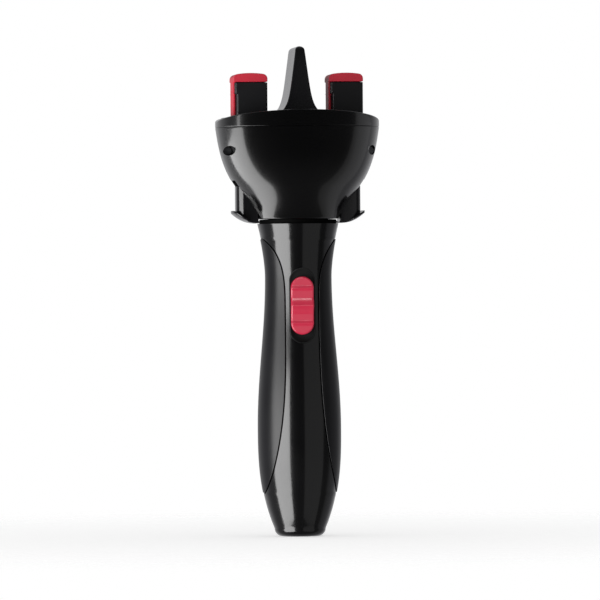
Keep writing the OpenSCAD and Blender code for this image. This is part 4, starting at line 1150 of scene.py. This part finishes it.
# Of each lamp: its turn, its low and high end, width, distance and glow, and what it lights
soft_box("left_box", -60.5, -0.8, 0.228, 0.9, 0.9, 4.7, *others)
soft_box("right_box", 36, -0.8, 0.3, 0.96, 0.9, 0.17, *others)
soft_box("left_bowl_box", -104, -2.0, 0.06, 0.74, 1.0, 2.9, *bowl, lean=7)
soft_box("right_bowl_box", 91.5, -2.0, 0.3, 0.7, 1.0, 0.15, *bowl, lean=-10)
soft_box("left_lid_strip", -96, -0.05, 0.45, 0.1, 1.0, 2.4, lid)
soft_box("front_card", -7, 0, 0.3, 0.8, 0.9, 0.4, slider)
soft_box("brow_strip", -15, 0.45, 0.7, 0.7, 0.8, 4.0, slider)


def room():
    """White to the camera; a plain grey light on the pieces; a dim room in their gloss, lighter
    behind them."""
    world = bpy.data.worlds.new("room")
    bpy.context.scene.world = world
    world.use_nodes = True
    graph = Graph(world.node_tree)
    ahead = graph.node("ShaderNodeSeparateXYZ", {},
                       {0: graph.node("ShaderNodeTexCoord", {}, {}, "Generated")}, "Y")
    seen, gloss, through = [graph.node("ShaderNodeLightPath", {}, {}, ray) for ray in (
        "Is Camera Ray", "Is Glossy Ray", "Is Transmission Ray")]
    walls = graph.ramp(ahead * 0.5 + 0.5, [(stop, (level, level, blue, 1)) for stop, level, blue in (
        (0.0, 0.01, 0.01), (0.45, 0.03, 0.03), (0.52, 0.13, 0.135), (0.75, 0.16, 0.17),
        (1.0, 0.5, 0.51))])
    level = graph.blend(gloss, (0.5, 0.5, 0.5, 1), walls)
    white = seen.maths("MAXIMUM", seen, through)
    graph.tree.links.new(graph.blend(white, level, (1, 1, 1, 1)).socket,
                         graph.tree.nodes["Background"].inputs["Color"])


room()
floor_r = 500


def floor_paper():
    """White paper round the foot, which keeps the shadow and fades out into the white beyond."""
    finish = Finish("floor_paper", roughness=0.9, specular_ior_level=0.0, emission_strength=1.0)
    seen = finish.node("ShaderNodeLightPath", {}, {}, "Is Camera Ray")
    away = finish.node("ShaderNodeVectorMath", {"operation": "LENGTH"}, {0: finish.place()}, "Value")
    fade = finish.node("ShaderNodeMapRange", {"interpolation_type": "SMOOTHSTEP"},
                       {"Value": away, "From Min": 0.1, "From Max": 0.45, "To Min": 1.0,
                        "To Max": 0.0})
    fibres = finish.noise(500, 3)
    finish.feed("Base Color", finish.blend(fibres, colour(238, 238, 238), colour(246, 246, 246)))
    finish.feed("Emission Color", finish.blend(seen, (0, 0, 0, 1), (0.5, 0.5, 0.5, 1)))
    finish.feed("Alpha", fade * (seen * 0.95 + 0.05))


floor = make("floor", ([(floor_r * math.cos(a), floor_r * math.sin(a), 0) for a in circle(96)],
                       [tuple(range(96))]))
floor_paper()
floor.data.materials.append(finishes["floor_paper"])

camera_data = bpy.data.cameras.new("camera")
camera_data.lens, camera_data.sensor_width = lens, sensor
camera_data.clip_end = 50
camera = stand("camera", camera_data, view_turn, view_z, distance, view_shift, view_roll)
bpy.context.scene.camera = camera
bpy.context.scene.view_settings.view_transform = "Standard"
